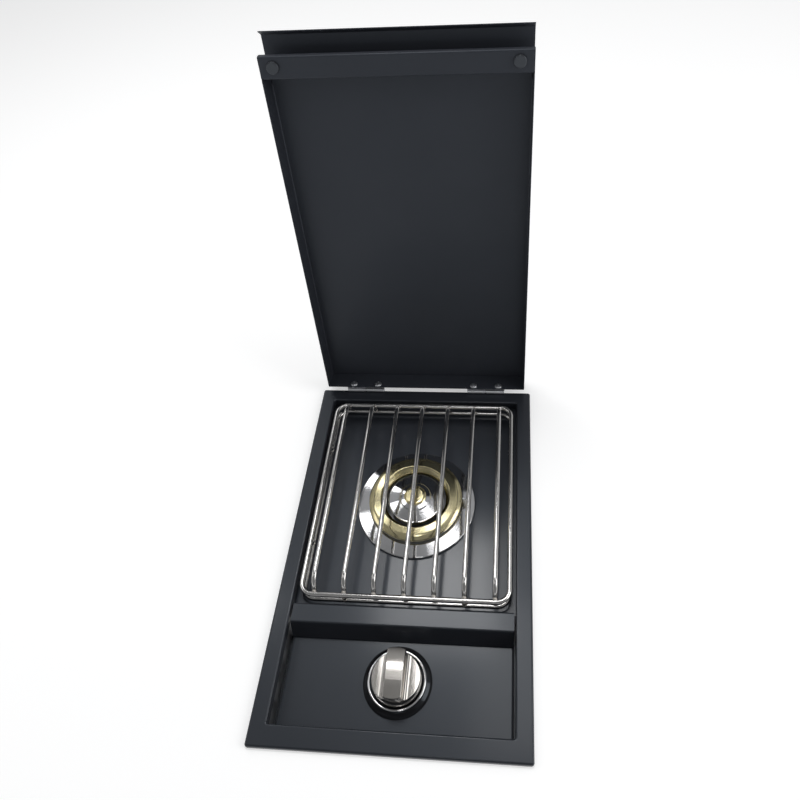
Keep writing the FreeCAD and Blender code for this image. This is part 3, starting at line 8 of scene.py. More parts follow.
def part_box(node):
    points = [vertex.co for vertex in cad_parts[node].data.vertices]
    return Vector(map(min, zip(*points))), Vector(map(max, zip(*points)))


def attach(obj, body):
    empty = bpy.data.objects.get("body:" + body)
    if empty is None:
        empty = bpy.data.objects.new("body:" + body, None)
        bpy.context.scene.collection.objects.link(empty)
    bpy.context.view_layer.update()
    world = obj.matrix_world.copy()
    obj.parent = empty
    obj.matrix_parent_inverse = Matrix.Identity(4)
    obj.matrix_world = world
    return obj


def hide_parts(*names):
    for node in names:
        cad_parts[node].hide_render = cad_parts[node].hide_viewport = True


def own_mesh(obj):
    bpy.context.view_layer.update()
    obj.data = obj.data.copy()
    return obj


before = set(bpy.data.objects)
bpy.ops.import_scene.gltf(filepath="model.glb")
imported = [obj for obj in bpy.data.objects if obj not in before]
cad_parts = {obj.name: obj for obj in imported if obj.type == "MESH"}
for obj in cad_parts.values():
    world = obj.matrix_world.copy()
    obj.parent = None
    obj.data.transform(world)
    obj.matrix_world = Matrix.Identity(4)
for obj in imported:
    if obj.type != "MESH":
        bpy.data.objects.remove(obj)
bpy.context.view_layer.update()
scene = bpy.context.scene
scene.view_settings.view_transform = "Standard"


# The counter and the studio round it.
# The burner hangs by its rim in a pale counter top with a cut-out, among lamps on all sides, under
# a sky that is pale, darker in front above the horizon, and white to the camera.

RIM_DEPTH = 0.006
RIM_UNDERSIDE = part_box("top_frame")[1][2] - RIM_DEPTH
CUT_OUT = ((-0.138, -0.221), (0.138, 0.225))
COUNTER_REACH = 20.0
COUNTER_COLOUR = (0.80, 0.80, 0.80, 1.0)
COUNTER_GLOW = 0.42
SKY_COLOUR = (0.98, 0.99, 1.0, 1.0)
SKY_ABOVE = 0.42
SKY_FRONT = 0.24
SKY_HORIZON = 1.0
SKY_DARK_SIDE = (-0.3, -0.954, 0.0)
SKY_SIDE_EDGE = (-0.12, 0.06)
SKY_HORIZON_EDGE = (0.05, 0.14)
LAMPS = (
    # name, place, target, width, height, radiance
    ("lamp_behind", (-0.17, 0.84, 2.20), (-0.17, 0.84, 0.0), 0.50, 0.50, 10.5),
    ("lamp_over", (0.30, 0.50, 2.30), (0.30, 0.50, 0.0), 0.6, 0.6, 2.8),
    ("lamp_front", (-0.05, -0.62, 2.30), (0.0, 0.0, 0.1), 0.25, 0.25, 8.0),
    ("lamp_right", (2.20, -0.20, 1.40), (0.0, 0.0, 0.1), 1.6, 1.2, 3.4),
    ("lamp_left", (-1.90, -0.10, 1.20), (0.0, 0.0, 0.1), 0.9, 0.8, 1.4),
    ("lamp_left_back", (-0.77, 1.09, 1.13), (0.0, 0.07, 0.1), 0.16, 0.5, 4.0),
    ("lamp_left_high", (-0.83, 0.52, 1.43), (0.0, 0.07, 0.1), 0.16, 0.5, 4.0),
)


def plug(tree, slot, value):
    """Link a socket, or set a plain value."""
    if isinstance(value, Socket):
        tree.links.new(value.link, slot)
    else:
        slot.default_value = value


class Socket:
    """A node's output, with the operators that add Math nodes."""

    def __init__(self, tree, link):
        self.tree = tree
        self.link = link

    def maths(self, operation, *others):
        node = self.tree.nodes.new("ShaderNodeMath")
        node.operation = operation
        for slot, value in zip(node.inputs, (self, *others)):
            plug(self.tree, slot, value)
        return Socket(self.tree, node.outputs[0])

    def __add__(self, other):
        return self.maths("ADD", other)

    def __sub__(self, other):
        return self.maths("SUBTRACT", other)

    def __mul__(self, other):
        return self.maths("MULTIPLY", other)

    def __truediv__(self, other):
        return self.maths("DIVIDE", other)

    def __rsub__(self, other):
        return (self * -1) + other

    __radd__ = __add__


class Nodes:
    """A node tree under construction, with one method that adds any node."""

    def __init__(self, tree, prefix="ShaderNode"):
        self.tree = tree
        self.prefix = prefix

    def node(self, kind, settings=None, values=None, output=0):
        made = self.tree.nodes.new(self.prefix + kind)
        for name, value in (settings or {}).items():
            setattr(made, name, value)
        for name, value in (values or {}).items():
            plug(self.tree, made.inputs[name], value)
        return Socket(self.tree, made.outputs[output])

    def shared(self, socket, output):
        """Another output of the node that a socket comes from."""
        return Socket(self.tree, socket.link.node.outputs[output])

    def ramp(self, value, low, high):
        """Nought below one number, one above another, smooth between."""
        settings = {"interpolation_type": "SMOOTHSTEP"}
        return self.node("MapRange", settings, {0: value, 1: low, 2: high})


class Finish(Nodes):
    """A surface material."""

    def __init__(self, name):
        self.material = bpy.data.materials.new(name)
        self.material.use_nodes = True
        super().__init__(self.material.node_tree)
        self.shader = self.tree.nodes["Principled BSDF"]

    def vectors(self, operation, *values):
        """A node of vector maths."""
        return self.node("VectorMath", {"operation": operation}, dict(enumerate(values)))

    def point(self, centre=(0, 0, 0), stretch=(1, 1, 1)):
        """Object coordinates from a centre, stretched along the axes."""
        place = self.node("TexCoord", output="Object")
        return self.vectors("MULTIPLY", self.vectors("SUBTRACT", place, centre), stretch)

    def axes(self, point):
        """The three numbers of a point."""
        across = self.node("SeparateXYZ", values={0: point})
        return across, self.shared(across, 1), self.shared(across, 2)

    def noise(self, point, scale, detail):
        return self.node("TexNoise", values={"Vector": point, "Scale": scale, "Detail": detail})

    def mix(self, share, first, second):
        """A colour between two, of which the first may be a socket."""
        start = first if isinstance(first, Socket) else (*first, 1)
        return self.node("Mix", {"data_type": "RGBA"}, {0: share, 6: start, 7: (*second, 1)}, 2)

    def lean(self, normal, push):
        """A normal pushed to one side."""
        return self.vectors("NORMALIZE", self.vectors("ADD", normal, push))

    def bump(self, height, depth, strength, normal=None):
        """A normal raised by a height, of a depth in metres, from the surface's or another."""
        values = {"Height": height, "Distance": depth, "Strength": strength}
        if normal:
            values["Normal"] = normal
        return self.node("Bump", values=values)

    def set(self, **values):
        """Set or link the shader's own sockets, and hand over the material."""
        for name, value in values.items():
            plug(self.tree, self.shader.inputs[name.replace("_", " ")], value)
        return self.material


def placed(name, data):
    """A new object in the scene."""
    item = bpy.data.objects.new(name, data)
    scene.collection.objects.link(item)
    return item


def counter_finish():
    """A matt pale surface, lifted to white for the camera and in mirrors only."""
    finish = Finish("pale_counter")
    rays = finish.node("LightPath", output="Is Camera Ray")
    seen = rays + finish.shared(rays, "Is Glossy Ray") + finish.shared(rays, "Is Transmission Ray")
    finish.set(Base_Color=COUNTER_COLOUR, Roughness=0.9, Specular_IOR_Level=0.0)
    return finish.set(Emission_Color=(1, 1, 1, 1), Emission_Strength=seen * COUNTER_GLOW)


def counter_top():
    """Eight panels round the cut-out, level with the rim's underside."""
    low, high = CUT_OUT
    xs = (-COUNTER_REACH, low[0], high[0], COUNTER_REACH)
    ys = (-COUNTER_REACH, low[1], high[1], COUNTER_REACH)
    points = [(x, y, RIM_UNDERSIDE) for y in ys for x in xs]
    faces = []
    for row in range(3):
        for column in range(3):
            if (row, column) != (1, 1):
                corner = row * 4 + column
                faces.append((corner, corner + 1, corner + 5, corner + 4))
    mesh = bpy.data.meshes.new("counter_top")
    mesh.from_pydata(points, [], faces)
    mesh.materials.append(counter_finish())
    placed("counter_top", mesh)


def hang_lamps():
    for name, place, target, width, height, radiance in LAMPS:
        lamp = bpy.data.lights.new(name, "AREA")
        lamp.shape = "RECTANGLE"
        lamp.size = width
        lamp.size_y = height
        lamp.energy = radiance * math.pi * width * height
        holder = placed(name, lamp)
        holder.location = place
        beam = Vector(target) - Vector(place)
        holder.rotation_euler = beam.to_track_quat("-Z", "Y").to_euler()


def paint_sky():
    world = bpy.data.worlds.new("soft_sky")
    scene.world = world
    world.use_nodes = True
    sky = Nodes(world.node_tree)
    direction = sky.node("TexCoord", output="Generated")
    values = {0: direction, 1: SKY_DARK_SIDE}
    facing = sky.node("VectorMath", {"operation": "DOT_PRODUCT"}, values, "Value")
    front = sky.ramp(facing, *SKY_SIDE_EDGE)
    height = sky.node("SeparateXYZ", values={0: direction}, output=2)
    above = sky.ramp(height, *SKY_HORIZON_EDGE)
    level = SKY_HORIZON + above * (SKY_ABOVE - SKY_HORIZON + front * (SKY_FRONT - SKY_ABOVE))
    seen = sky.node("LightPath", output="Is Camera Ray")
    level = level + seen * (1 - level)
    backdrop = world.node_tree.nodes["Background"]
    plug(world.node_tree, backdrop.inputs["Color"], SKY_COLOUR)
    plug(world.node_tree, backdrop.inputs["Strength"], level)


counter_top()
hang_lamps()
paint_sky()


# The camera.
# It stands in front and a little to the right, and looks down on the burner with its lid open.

IMAGE_WIDTH = 800
FOCAL_PIXELS = 700.65
SENSOR = 36.0
CAMERA_PLACE = (0.11844, -0.38758, 0.89998)
PICTURE_CENTRE = (441.66, 364.78)
CAMERA_RIGHT = Vector((0.99544358, 0.07105016, -0.06359205))
CAMERA_DOWN = Vector((0.01301939, -0.76194708, -0.64750841))
CAMERA_FORWARD = Vector((-0.09445935, 0.64373016, -0.75940036))


def stand_camera():
    lens = bpy.data.cameras.new("camera")
    lens.sensor_width = SENSOR
    lens.lens = FOCAL_PIXELS / IMAGE_WIDTH * SENSOR
    lens.shift_x = (IMAGE_WIDTH / 2 - PICTURE_CENTRE[0]) / IMAGE_WIDTH
    lens.shift_y = (PICTURE_CENTRE[1] - IMAGE_WIDTH / 2) / IMAGE_WIDTH
    camera = placed("camera", lens)
    facing = Matrix((CAMERA_RIGHT, -CAMERA_DOWN, -CAMERA_FORWARD)).transposed().to_4x4()
    camera.matrix_world = Matrix.Translation(CAMERA_PLACE) @ facing
    scene.camera = camera


stand_camera()


# The casing under the counter.
# A box of galvanised sheet with slots for air in its sides and floor, spot-welded to the frame.

GALVANISED_LIGHT = (0.60, 0.61, 0.62)
GALVANISED_DARK = (0.42, 0.43, 0.45)
SPANGLES_PER_METRE = 70.0


def wear(material, *names):
    """Give carried-over CAD nodes a material."""
    for name in names:
        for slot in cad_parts[name].material_slots:
            slot.material = material


def galvanised_sheet():
    """Zinc crystals, each with its own tint and gloss, over faint rolling lines."""
    finish = Finish("galvanised_sheet")
    point = finish.point()
    values = {"Vector": point, "Scale": SPANGLES_PER_METRE}
    spangle = finish.node("TexVoronoi", None, values, "Color")
    tint = finish.node("SeparateColor", values={0: spangle})
    cloud = finish.noise(point, scale=25.0, detail=4.0)
    rolled = finish.noise(finish.point(stretch=(1, 60, 60)), scale=12.0, detail=3.0)
    shade = tint * 0.6 + cloud * 0.4
    finish.set(Base_Color=finish.mix(shade, GALVANISED_DARK, GALVANISED_LIGHT), Metallic=1.0)
    finish.set(Roughness=0.28 + tint * 0.16 + cloud * 0.1)
    return finish.set(Normal=finish.bump(rolled, depth=0.00002, strength=0.5))


wear(galvanised_sheet(), "casing")


# The frame, the cross bar and the control panel.
# Folded steel sheet, powder coated satin black, with rounded bends and a fine orange peel.

COAT_DARK = (0.0150, 0.0166, 0.0210)
COAT_LIGHT = (0.0205, 0.0223, 0.0280)
COOL_TINT = (0.80, 0.89, 1.0, 1.0)
PEEL_SCALE = 900.0
PEEL_DEPTH = 0.00003


def powder_coat(name, tone, roughness, skin, shine):
    """Satin black coat: orange peel, clouds in the gloss, specks of dust and a faint clear skin."""
    finish = Finish(name)
    point = finish.point()
    peel = finish.noise(point, scale=PEEL_SCALE, detail=3.0)
    cloud = finish.noise(point, scale=14.0, detail=4.0)
    dust = finish.noise(point, scale=1800.0, detail=1.0)
    speck = finish.ramp(dust, low=0.74, high=0.80)
    shade = cloud * 0.8 + speck * 0.6
    dark, light = (tuple(tone * part for part in colour) for colour in (COAT_DARK, COAT_LIGHT))
    finish.set(Base_Color=finish.mix(shade, dark, light))
    finish.set(Specular_Tint=COOL_TINT, Specular_IOR_Level=shine)
    finish.set(Roughness=roughness + cloud * 0.07 + peel * 0.05)
    finish.set(Coat_Weight=skin + cloud * 0.1, Coat_Roughness=0.14)
    return finish.set(Normal=finish.bump(peel, depth=PEEL_DEPTH, strength=0.6))


frame_black = powder_coat("satin_black_coat", tone=1.0, roughness=0.30, skin=0.26, shine=0.36)
wear(frame_black, "top_frame", "cross_bar", "control_panel")


# The burner tray.
# A pressed tray of coated sheet that fills the well behind the cross bar and rests in the casing.

tray_black = powder_coat("tray_coat", tone=1.6, roughness=0.40, skin=0.45, shine=0.42)
wear(tray_black, "burner_tray")


# The burner.
# A cast aluminium bowl stands in the tray, under a brass flame ring with its turned brass cap,
# a small brass burner with a polished cone and a dome, and a mirror-polished drip ring.


def middle(box):
    """The centre of a box."""
    return tuple((low + high) / 2 for low, high in zip(*box))


BURNER_CENTRE = middle(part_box("ring_cap"))
BRASS_LIGHT = (0.79, 0.72, 0.47)
BRASS_DARK = (0.62, 0.54, 0.30)
BRASS_TARNISH = (0.34, 0.21, 0.09)
MIRROR_LIGHT = (0.66, 0.66, 0.67)
MIRROR_DARK = (0.56, 0.56, 0.57)
CAST_LIGHT = (0.55, 0.56, 0.57)
CAST_DARK = (0.34, 0.34, 0.35)
GROOVE_PITCH = 0.00008


def cast_aluminium():
    """Sand-cast skin: coarse grain, fine pits and darker hollows."""
    finish = Finish("cast_aluminium")
    point = finish.point()
    grain = finish.noise(point, scale=420.0, detail=4.0)
    cloud = finish.noise(point, scale=30.0, detail=3.0)
    pits = finish.ramp(finish.noise(point, scale=900.0, detail=1.0), low=0.62, high=0.72)
    shade = cloud * 0.7 + grain * 0.5 - pits * 0.5
    finish.set(Base_Color=finish.mix(shade, CAST_DARK, CAST_LIGHT), Metallic=1.0)
    finish.set(Roughness=0.46 + grain * 0.16 + pits * 0.1)
    return finish.set(Normal=finish.bump(grain - pits * 0.6, depth=0.00012, strength=0.8))


def turned_metal(name, light, dark, roughness, spread, centre=BURNER_CENTRE):
    """Metal turned on a lathe: fine grooves, whose walls throw light outward and inward."""
    finish = Finish(name)
    point = finish.point(centre)
    across, along = finish.axes(point)[:2]
    radius = (across * across + along * along).maths("SQRT")
    values = {"W": radius / GROOVE_PITCH, "Scale": 1.0, "Detail": 1.0}
    groove = finish.node("TexNoise", {"noise_dimensions": "1D"}, values)
    outward = finish.vectors("NORMALIZE", finish.node("CombineXYZ", values={0: across, 1: along}))
    values = {0: outward, "Scale": (groove - 0.5) * spread}
    push = finish.node("VectorMath", {"operation": "SCALE"}, values)
    normal = finish.lean(finish.node("NewGeometry", output="Normal"), push)
    cloud = finish.noise(point, scale=60.0, detail=4.0)
    rubbed = finish.noise(finish.point(centre, stretch=(1, 5, 3)), scale=260.0, detail=4.0)
    marks = finish.ramp(rubbed, low=0.60, high=0.75)
    finish.set(Base_Color=finish.mix(groove * 0.3 + cloud * 0.7, dark, light), Metallic=1.0)
    finish.set(Roughness=roughness + cloud * roughness * 0.4 + marks * roughness * 0.5)
    return finish.set(Normal=normal)


def ported_brass():
    """Brass of the flame ring and the inner burner: dull, and browned in patches by heat."""
    finish = Finish("ported_brass")
    point = finish.point(BURNER_CENTRE)
    grain = finish.noise(point, scale=700.0, detail=3.0)
    cloud = finish.noise(point, scale=45.0, detail=4.0)
    heat = finish.ramp(cloud, low=0.42, high=0.75)
    base = finish.mix(cloud * 0.6 + grain * 0.4, BRASS_DARK, BRASS_LIGHT)
    finish.set(Base_Color=finish.mix(heat * 0.6, base, BRASS_TARNISH), Metallic=1.0)
    finish.set(Roughness=0.24 + grain * 0.12 + heat * 0.12)
    return finish.set(Normal=finish.bump(grain, depth=0.00002, strength=0.5))


wear(cast_aluminium(), "burner_bowl", "gas_pipe", "valve_body")
wear(ported_brass(), "flame_ring", "inner_burner_head")
turned_brass = turned_metal("turned_brass", BRASS_LIGHT, BRASS_DARK, roughness=0.15, spread=0.22)
wear(turned_brass, "ring_cap", "centre_dome")
turned_cone = turned_metal("turned_cone", MIRROR_LIGHT, MIRROR_DARK, roughness=0.03, spread=0.2)
wear(turned_cone, "inner_cap")
drip_mirror = turned_metal(
    "turned_drip_ring", MIRROR_LIGHT, MIRROR_DARK, roughness=0.04, spread=0.15
)
wear(drip_mirror, "drip_ring")


# The ignition.
# A glazed ceramic electrode with a steel wire bent over the flame ring, held by a zinc-plated
# clip, and a silicone-sleeved lead under the tray to a moulded igniter on the valve's side.

CERAMIC_LIGHT = (0.86, 0.85, 0.81)
CERAMIC_DARK = (0.70, 0.67, 0.60)
ZINC_LIGHT = (0.66, 0.67, 0.69)
ZINC_DARK = (0.48, 0.49, 0.51)
MOULDED_LIGHT = (0.018, 0.018, 0.020)
MOULDED_DARK = (0.008, 0.008, 0.009)
SLEEVE_LIGHT = (0.70, 0.67, 0.61)
SLEEVE_DARK = (0.58, 0.55, 0.49)


def glazed_ceramic():
    """White glaze with a warm stain that gathers in patches, and a faint pull in its skin."""
    finish = Finish("glazed_ceramic")
    point = finish.point()
    stain = finish.ramp(finish.noise(point, scale=160.0, detail=4.0), low=0.45, high=0.80)
    pull = finish.noise(point, scale=380.0, detail=2.0)
    finish.set(Base_Color=finish.mix(stain, CERAMIC_LIGHT, CERAMIC_DARK), Coat_Roughness=0.05)
    finish.set(Roughness=0.16 + stain * 0.2, Coat_Weight=0.6 - stain * 0.3)
    return finish.set(Normal=finish.bump(pull, depth=0.00003, strength=0.3))


def zinc_plate(name, roughness):
    """Zinc over pressed steel: soft clouds, fine pressing lines and dull spots."""
    finish = Finish(name)
    point = finish.point()
    cloud = finish.noise(point, scale=90.0, detail=4.0)
    lines = finish.noise(finish.point(stretch=(40, 4, 4)), scale=60.0, detail=3.0)
    dull = finish.ramp(finish.noise(point, scale=300.0, detail=2.0), low=0.6, high=0.75)
    shade = cloud * 0.7 + lines * 0.3
    finish.set(Base_Color=finish.mix(shade, ZINC_DARK, ZINC_LIGHT), Metallic=1.0)
    finish.set(Roughness=roughness + cloud * 0.08 + dull * 0.12)
    return finish.set(Normal=finish.bump(lines, depth=0.000004, strength=0.2))


def moulded_plastic(name, roughness, shine):
    """Black moulded plastic: a spark-etched grain with worn, shinier patches."""
    finish = Finish(name)
    point = finish.point()
    grain = finish.noise(point, scale=1600.0, detail=3.0)
    worn = finish.ramp(finish.noise(point, scale=35.0, detail=3.0), low=0.5, high=0.75)
    finish.set(Base_Color=finish.mix(grain, MOULDED_DARK, MOULDED_LIGHT))
    finish.set(Specular_Tint=COOL_TINT, Specular_IOR_Level=shine)
    finish.set(Roughness=roughness + grain * 0.08 - worn * 0.06)
    return finish.set(Normal=finish.bump(grain, depth=0.00002, strength=0.4))


def silicone_sleeve():
    """Off-white silicone rubber: matt, with a fine knit of the glass braid under it."""
    finish = Finish("silicone_sleeve")
    point = finish.point()
    values = {"Vector": point, "Scale": 1400.0}
    knit = finish.node("TexVoronoi", {"feature": "DISTANCE_TO_EDGE"}, values)
    cloud = finish.noise(point, scale=80.0, detail=3.0)
    finish.set(Base_Color=finish.mix(cloud, SLEEVE_DARK, SLEEVE_LIGHT), Sheen_Weight=0.2)
    finish.set(Roughness=0.55 + cloud * 0.15)
    return finish.set(Normal=finish.bump(knit, depth=0.0001, strength=0.4))


bright_zinc = zinc_plate("bright_zinc", roughness=0.14)
dull_zinc = zinc_plate("dull_zinc", roughness=0.36)
wear(glazed_ceramic(), "electrode_ceramic")
wear(bright_zinc, "electrode_wire", "electrode_clip")
wear(silicone_sleeve(), "ignition_lead")
wear(moulded_plastic("igniter_plastic", roughness=0.42, shine=0.5), "piezo_igniter")


# The gas valve.
# A cast body under the panel with a brass plug, held by a plated bonnet and two screws,
# a plated stem that the knob turns and pushes, a coil spring round it, and a brass injector.

SPRING_TURNS = 3.5
SPRING_WIRE = 0.0007
SPRING_STEPS = 24
SPRING_SIDES = 8
KNOB_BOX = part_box("knob")
KNOB_CENTRE = middle(KNOB_BOX)


class Shapes(Nodes):
    """A Geometry Nodes tree under construction, with named sizes."""

    def __init__(self, name):
        super().__init__(bpy.data.node_groups.new(name, "GeometryNodeTree"), "GeometryNode")
        for side in ("INPUT", "OUTPUT"):
            self.tree.interface.new_socket(
                "Geometry", in_out=side, socket_type="NodeSocketGeometry"
            )
        self.entry = self.tree.nodes.new("NodeGroupInput")
        self.sizes = {}

    def start(self):
        """The geometry that the tree is given."""
        return Socket(self.tree, self.entry.outputs["Geometry"])

    def size(self, name, value, kind="Float"):
        """A named input of the tree."""
        made = self.tree.interface.new_socket(
            name, in_out="INPUT", socket_type="NodeSocket" + kind
        )
        self.sizes[made.identifier] = value
        return Socket(self.tree, self.entry.outputs[name])

    def vector(self, across, along, up):
        """A vector from three numbers or sockets."""
        made = self.tree.nodes.new("ShaderNodeCombineXYZ")
        for slot, value in zip(made.inputs, (across, along, up)):
            plug(self.tree, slot, value)
        return Socket(self.tree, made.outputs[0])

    def wire(self, path, radius, sides=16):
        """A round wire along a path."""
        section = self.node("CurvePrimitiveCircle", values={"Resolution": sides, "Radius": radius})
        values = {"Curve": path, "Profile Curve": section, "Fill Caps": True}
        return self.node("CurveToMesh", values=values)

    def moved(self, shape, offset):
        return self.node("Transform", values={"Geometry": shape, "Translation": offset})

    def at_each(self, points, instance):
        return self.node("InstanceOnPoints", values={"Points": points, "Instance": instance})

    def joined(self, *parts):
        """Several geometries as one."""
        joint = self.tree.nodes.new("GeometryNodeJoinGeometry")
        for part in parts:
            self.tree.links.new(part.link, joint.inputs[0])
        return Socket(self.tree, joint.outputs[0])

    def cut(self, blank, tool):
        """A shape less another."""
        settings = {"operation": "DIFFERENCE", "solver": "EXACT"}
        return self.node("MeshBoolean", settings, {0: blank, 1: tool})

    def clad(self, shape, finish):
        return self.node("SetMaterial", values={"Geometry": shape, "Material": finish})

    def finished(self, shape):
        """The last nodes: everything real, and out."""
        real = self.node("RealizeInstances", values={0: shape})
        leave = self.tree.nodes.new("NodeGroupOutput")
        self.tree.links.new(real.link, leave.inputs[0])


def plain_mesh(name, shapes, base=None):
    """Run a Geometry Nodes tree, and keep its result as a plain mesh on a piece."""
    carrier = placed(name + "_carrier", base or bpy.data.meshes.new(name + "_start"))
    modifier = carrier.modifiers.new("shapes", "NODES")
    modifier.node_group = shapes.tree
    for identifier, value in shapes.sizes.items():
        modifier[identifier] = value
    seen = carrier.evaluated_get(bpy.context.evaluated_depsgraph_get())
    mesh = bpy.data.meshes.new_from_object(seen)
    bpy.data.objects.remove(carrier)
    mesh.name = name
    return placed(name, mesh)


def coil_spring():
    """The spring that lifts the stem, as a real coil."""
    low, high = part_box("stem_spring")
    centre = (*middle((low, high))[:2], low[2] + SPRING_WIRE)
    shapes = Shapes("coil_spring")
    wire = shapes.size("Wire radius", SPRING_WIRE)
    turns = shapes.size("Turns", SPRING_TURNS)
    outer = shapes.size("Coil radius", (high[0] - low[0]) / 2 - SPRING_WIRE)
    height = shapes.size("Height", high[2] - low[2] - SPRING_WIRE * 2)
    radii = {"Start Radius": outer, "End Radius": outer}
    values = {"Resolution": SPRING_STEPS, "Rotations": turns, **radii, "Height": height}
    path = shapes.node("CurveSpiral", values=values)
    coil = shapes.moved(shapes.wire(path, wire, SPRING_SIDES), centre)
    shapes.finished(shapes.clad(coil, bright_zinc))
    piece = plain_mesh("coil_spring", shapes)
    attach(piece, "valve_rotor")
    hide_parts("stem_spring")
    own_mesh(piece)


coil_spring()
machined_brass = turned_metal(
    "machined_brass", BRASS_LIGHT, BRASS_DARK, roughness=0.20, spread=0.15, centre=KNOB_CENTRE
)
wear(machined_brass, "valve_plug", "injector", "pipe_nuts", "inlet_nut")
wear(bright_zinc, "valve_bonnet", "valve_screws")


# The air shutter and the gas line.
# A plated sleeve with windows slides on the burner's tube, and a drawn pipe with brass nuts runs
# back to the threaded inlet, which passes through the casing's back wall and is held by a nut.

THREAD_PITCH = 0.001814
THREAD_DEPTH = 0.0005
THREAD_START = 0.0136
THREAD_FULL = 0.0132


def threaded_brass():
    """The inlet's brass, with its thread as rings along Y."""
    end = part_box("inlet_fitting")[1][1]
    finish = Finish("threaded_brass")
    point = finish.point()
    along = finish.axes(point)[1]
    ridge = (along * (math.tau / THREAD_PITCH)).maths("SINE")
    cut = finish.ramp(along, low=end - THREAD_START, high=end - THREAD_FULL)
    cloud = finish.noise(point, scale=120.0, detail=3.0)
    shade = cloud * 0.7 + ridge * cut * 0.2
    finish.set(Base_Color=finish.mix(shade, BRASS_DARK, BRASS_LIGHT), Metallic=1.0)
    finish.set(Roughness=0.22 + cloud * 0.14)
    return finish.set(Normal=finish.bump(ridge * cut, depth=THREAD_DEPTH, strength=1.0))


wear(bright_zinc, "air_shutter", "shutter_screw", "pipe_clip")
wear(threaded_brass(), "inlet_fitting")


# The knob and its bezel.
# A satin steel knob with a raised grip and two scooped wings, over a black bezel
# whose thin chromed ring shows round the knob's skirt.

KNOB_LIGHT = (0.50, 0.48, 0.455)
KNOB_DARK = (0.40, 0.38, 0.355)
GRIP_DEPTH = 0.006
GRIP_EDGE = 0.001
GRIP_LEVEL = KNOB_BOX[1][2] - KNOB_CENTRE[2] - GRIP_DEPTH
GRIP_CROWN = 5.0
WING_REACH = 0.0235
WING_SCOOP = 25.0


def satin_knob():
    """Steel brushed along the grip, with a slight crown along it and scooped wings."""
    finish = Finish("satin_knob_steel")
    point = finish.point(KNOB_CENTRE)
    brushed = finish.noise(finish.point(KNOB_CENTRE, stretch=(60, 2, 20)), scale=60.0, detail=4.0)
    cloud = finish.noise(point, scale=70.0, detail=3.0)
    across, along, up = finish.axes(point)
    smooth = finish.node("NewGeometry", output="Normal")
    on_grip = finish.ramp(up, low=GRIP_LEVEL - GRIP_EDGE, high=GRIP_LEVEL)
    on_wing = (1 - on_grip) * finish.ramp(finish.axes(smooth)[2], low=0.6, high=0.85)
    crown = along.maths("MAXIMUM", 0.0) * on_grip * GRIP_CROWN
    inward = (WING_REACH - across.maths("ABSOLUTE")).maths("MAXIMUM", 0.0)
    scoop = inward * across.maths("SIGN") * on_wing * -WING_SCOOP
    shaped = finish.lean(smooth, finish.node("CombineXYZ", values={0: scoop, 1: crown}))
    shade = brushed * 0.5 + cloud * 0.5
    finish.set(Base_Color=finish.mix(shade, KNOB_DARK, KNOB_LIGHT), Metallic=1.0)
    finish.set(Roughness=0.12 + brushed * 0.05 + cloud * 0.03)
    return finish.set(Normal=finish.bump(brushed, depth=0.000003, strength=0.3, normal=shaped))


wear(satin_knob(), "knob", "valve_stem")
bezel_chrome = turned_metal(
    "bezel_chrome", MIRROR_LIGHT, MIRROR_DARK, roughness=0.03, spread=0.05, centre=KNOB_CENTRE
)
wear(bezel_chrome, "bezel_ring")
wear(moulded_plastic("bezel_plastic", roughness=0.10, shine=0.3), "bezel_base")


# The grate.
# Two loops of polished steel wire joined by short posts, and seven rods bent down at both ends
# and welded inside the upper loop. It lifts out of the tray in one piece.

WIRE_RADIUS = 0.003
LOOP_CORNER = 0.015
ROD_COUNT = 7
ROD_BEND = 0.018
LEG_SLOPE = 1 / math.tan(math.radians(72))
LEG_INSET = 0.0055
ROD_FOOT = 0.0005
BEND_STEPS = 10
BEAD_RADIUS = 0.0026
BEAD_RISE = 0.0012
POST_RADIUS = BEAD_RADIUS * 0.96
POST_PITCHES = 4
POST_WELD_SHAPE = (1.25, 1.25, 0.6)
POST_WELD_GAP = 0.0031
GRATE_SHARP = math.radians(50)
STEEL_LIGHT = (0.62, 0.61, 0.60)
STEEL_DARK = (0.50, 0.49, 0.48)
WELD_LIGHT = (0.60, 0.57, 0.53)
WELD_DARK = (0.42, 0.39, 0.35)


def polished_wire():
    """Drawn steel wire, polished: faint lines along it and small marks of pans."""
    finish = Finish("polished_wire")
    cloud = finish.noise(finish.point(), scale=55.0, detail=4.0)
    drawn = finish.noise(finish.point(stretch=(50, 1.5, 50)), scale=40.0, detail=3.0)
    scuffs = finish.noise(finish.point(stretch=(1, 3, 1)), scale=420.0, detail=3.0)
    marks = finish.ramp(scuffs, low=0.60, high=0.72)
    shade = cloud * 0.6 + drawn * 0.4 - marks * 0.2
    finish.set(Base_Color=finish.mix(shade, STEEL_DARK, STEEL_LIGHT), Metallic=1.0)
    finish.set(Roughness=0.14 + drawn * 0.05 + marks * 0.08)
    return finish.set(Normal=finish.bump(marks, depth=0.000004, strength=0.2))


def weld_metal():
    """A weld's frozen ripples, straw and brown from the heat."""
    finish = Finish("weld_metal")
    point = finish.point()
    ripple = finish.noise(point, scale=900.0, detail=3.0)
    heat = finish.noise(point, scale=260.0, detail=2.0)
    finish.set(Base_Color=finish.mix(heat, WELD_DARK, WELD_LIGHT), Metallic=1.0)
    finish.set(Roughness=0.28 + ripple * 0.2)
    return finish.set(Normal=finish.bump(ripple, depth=0.00015, strength=0.8))


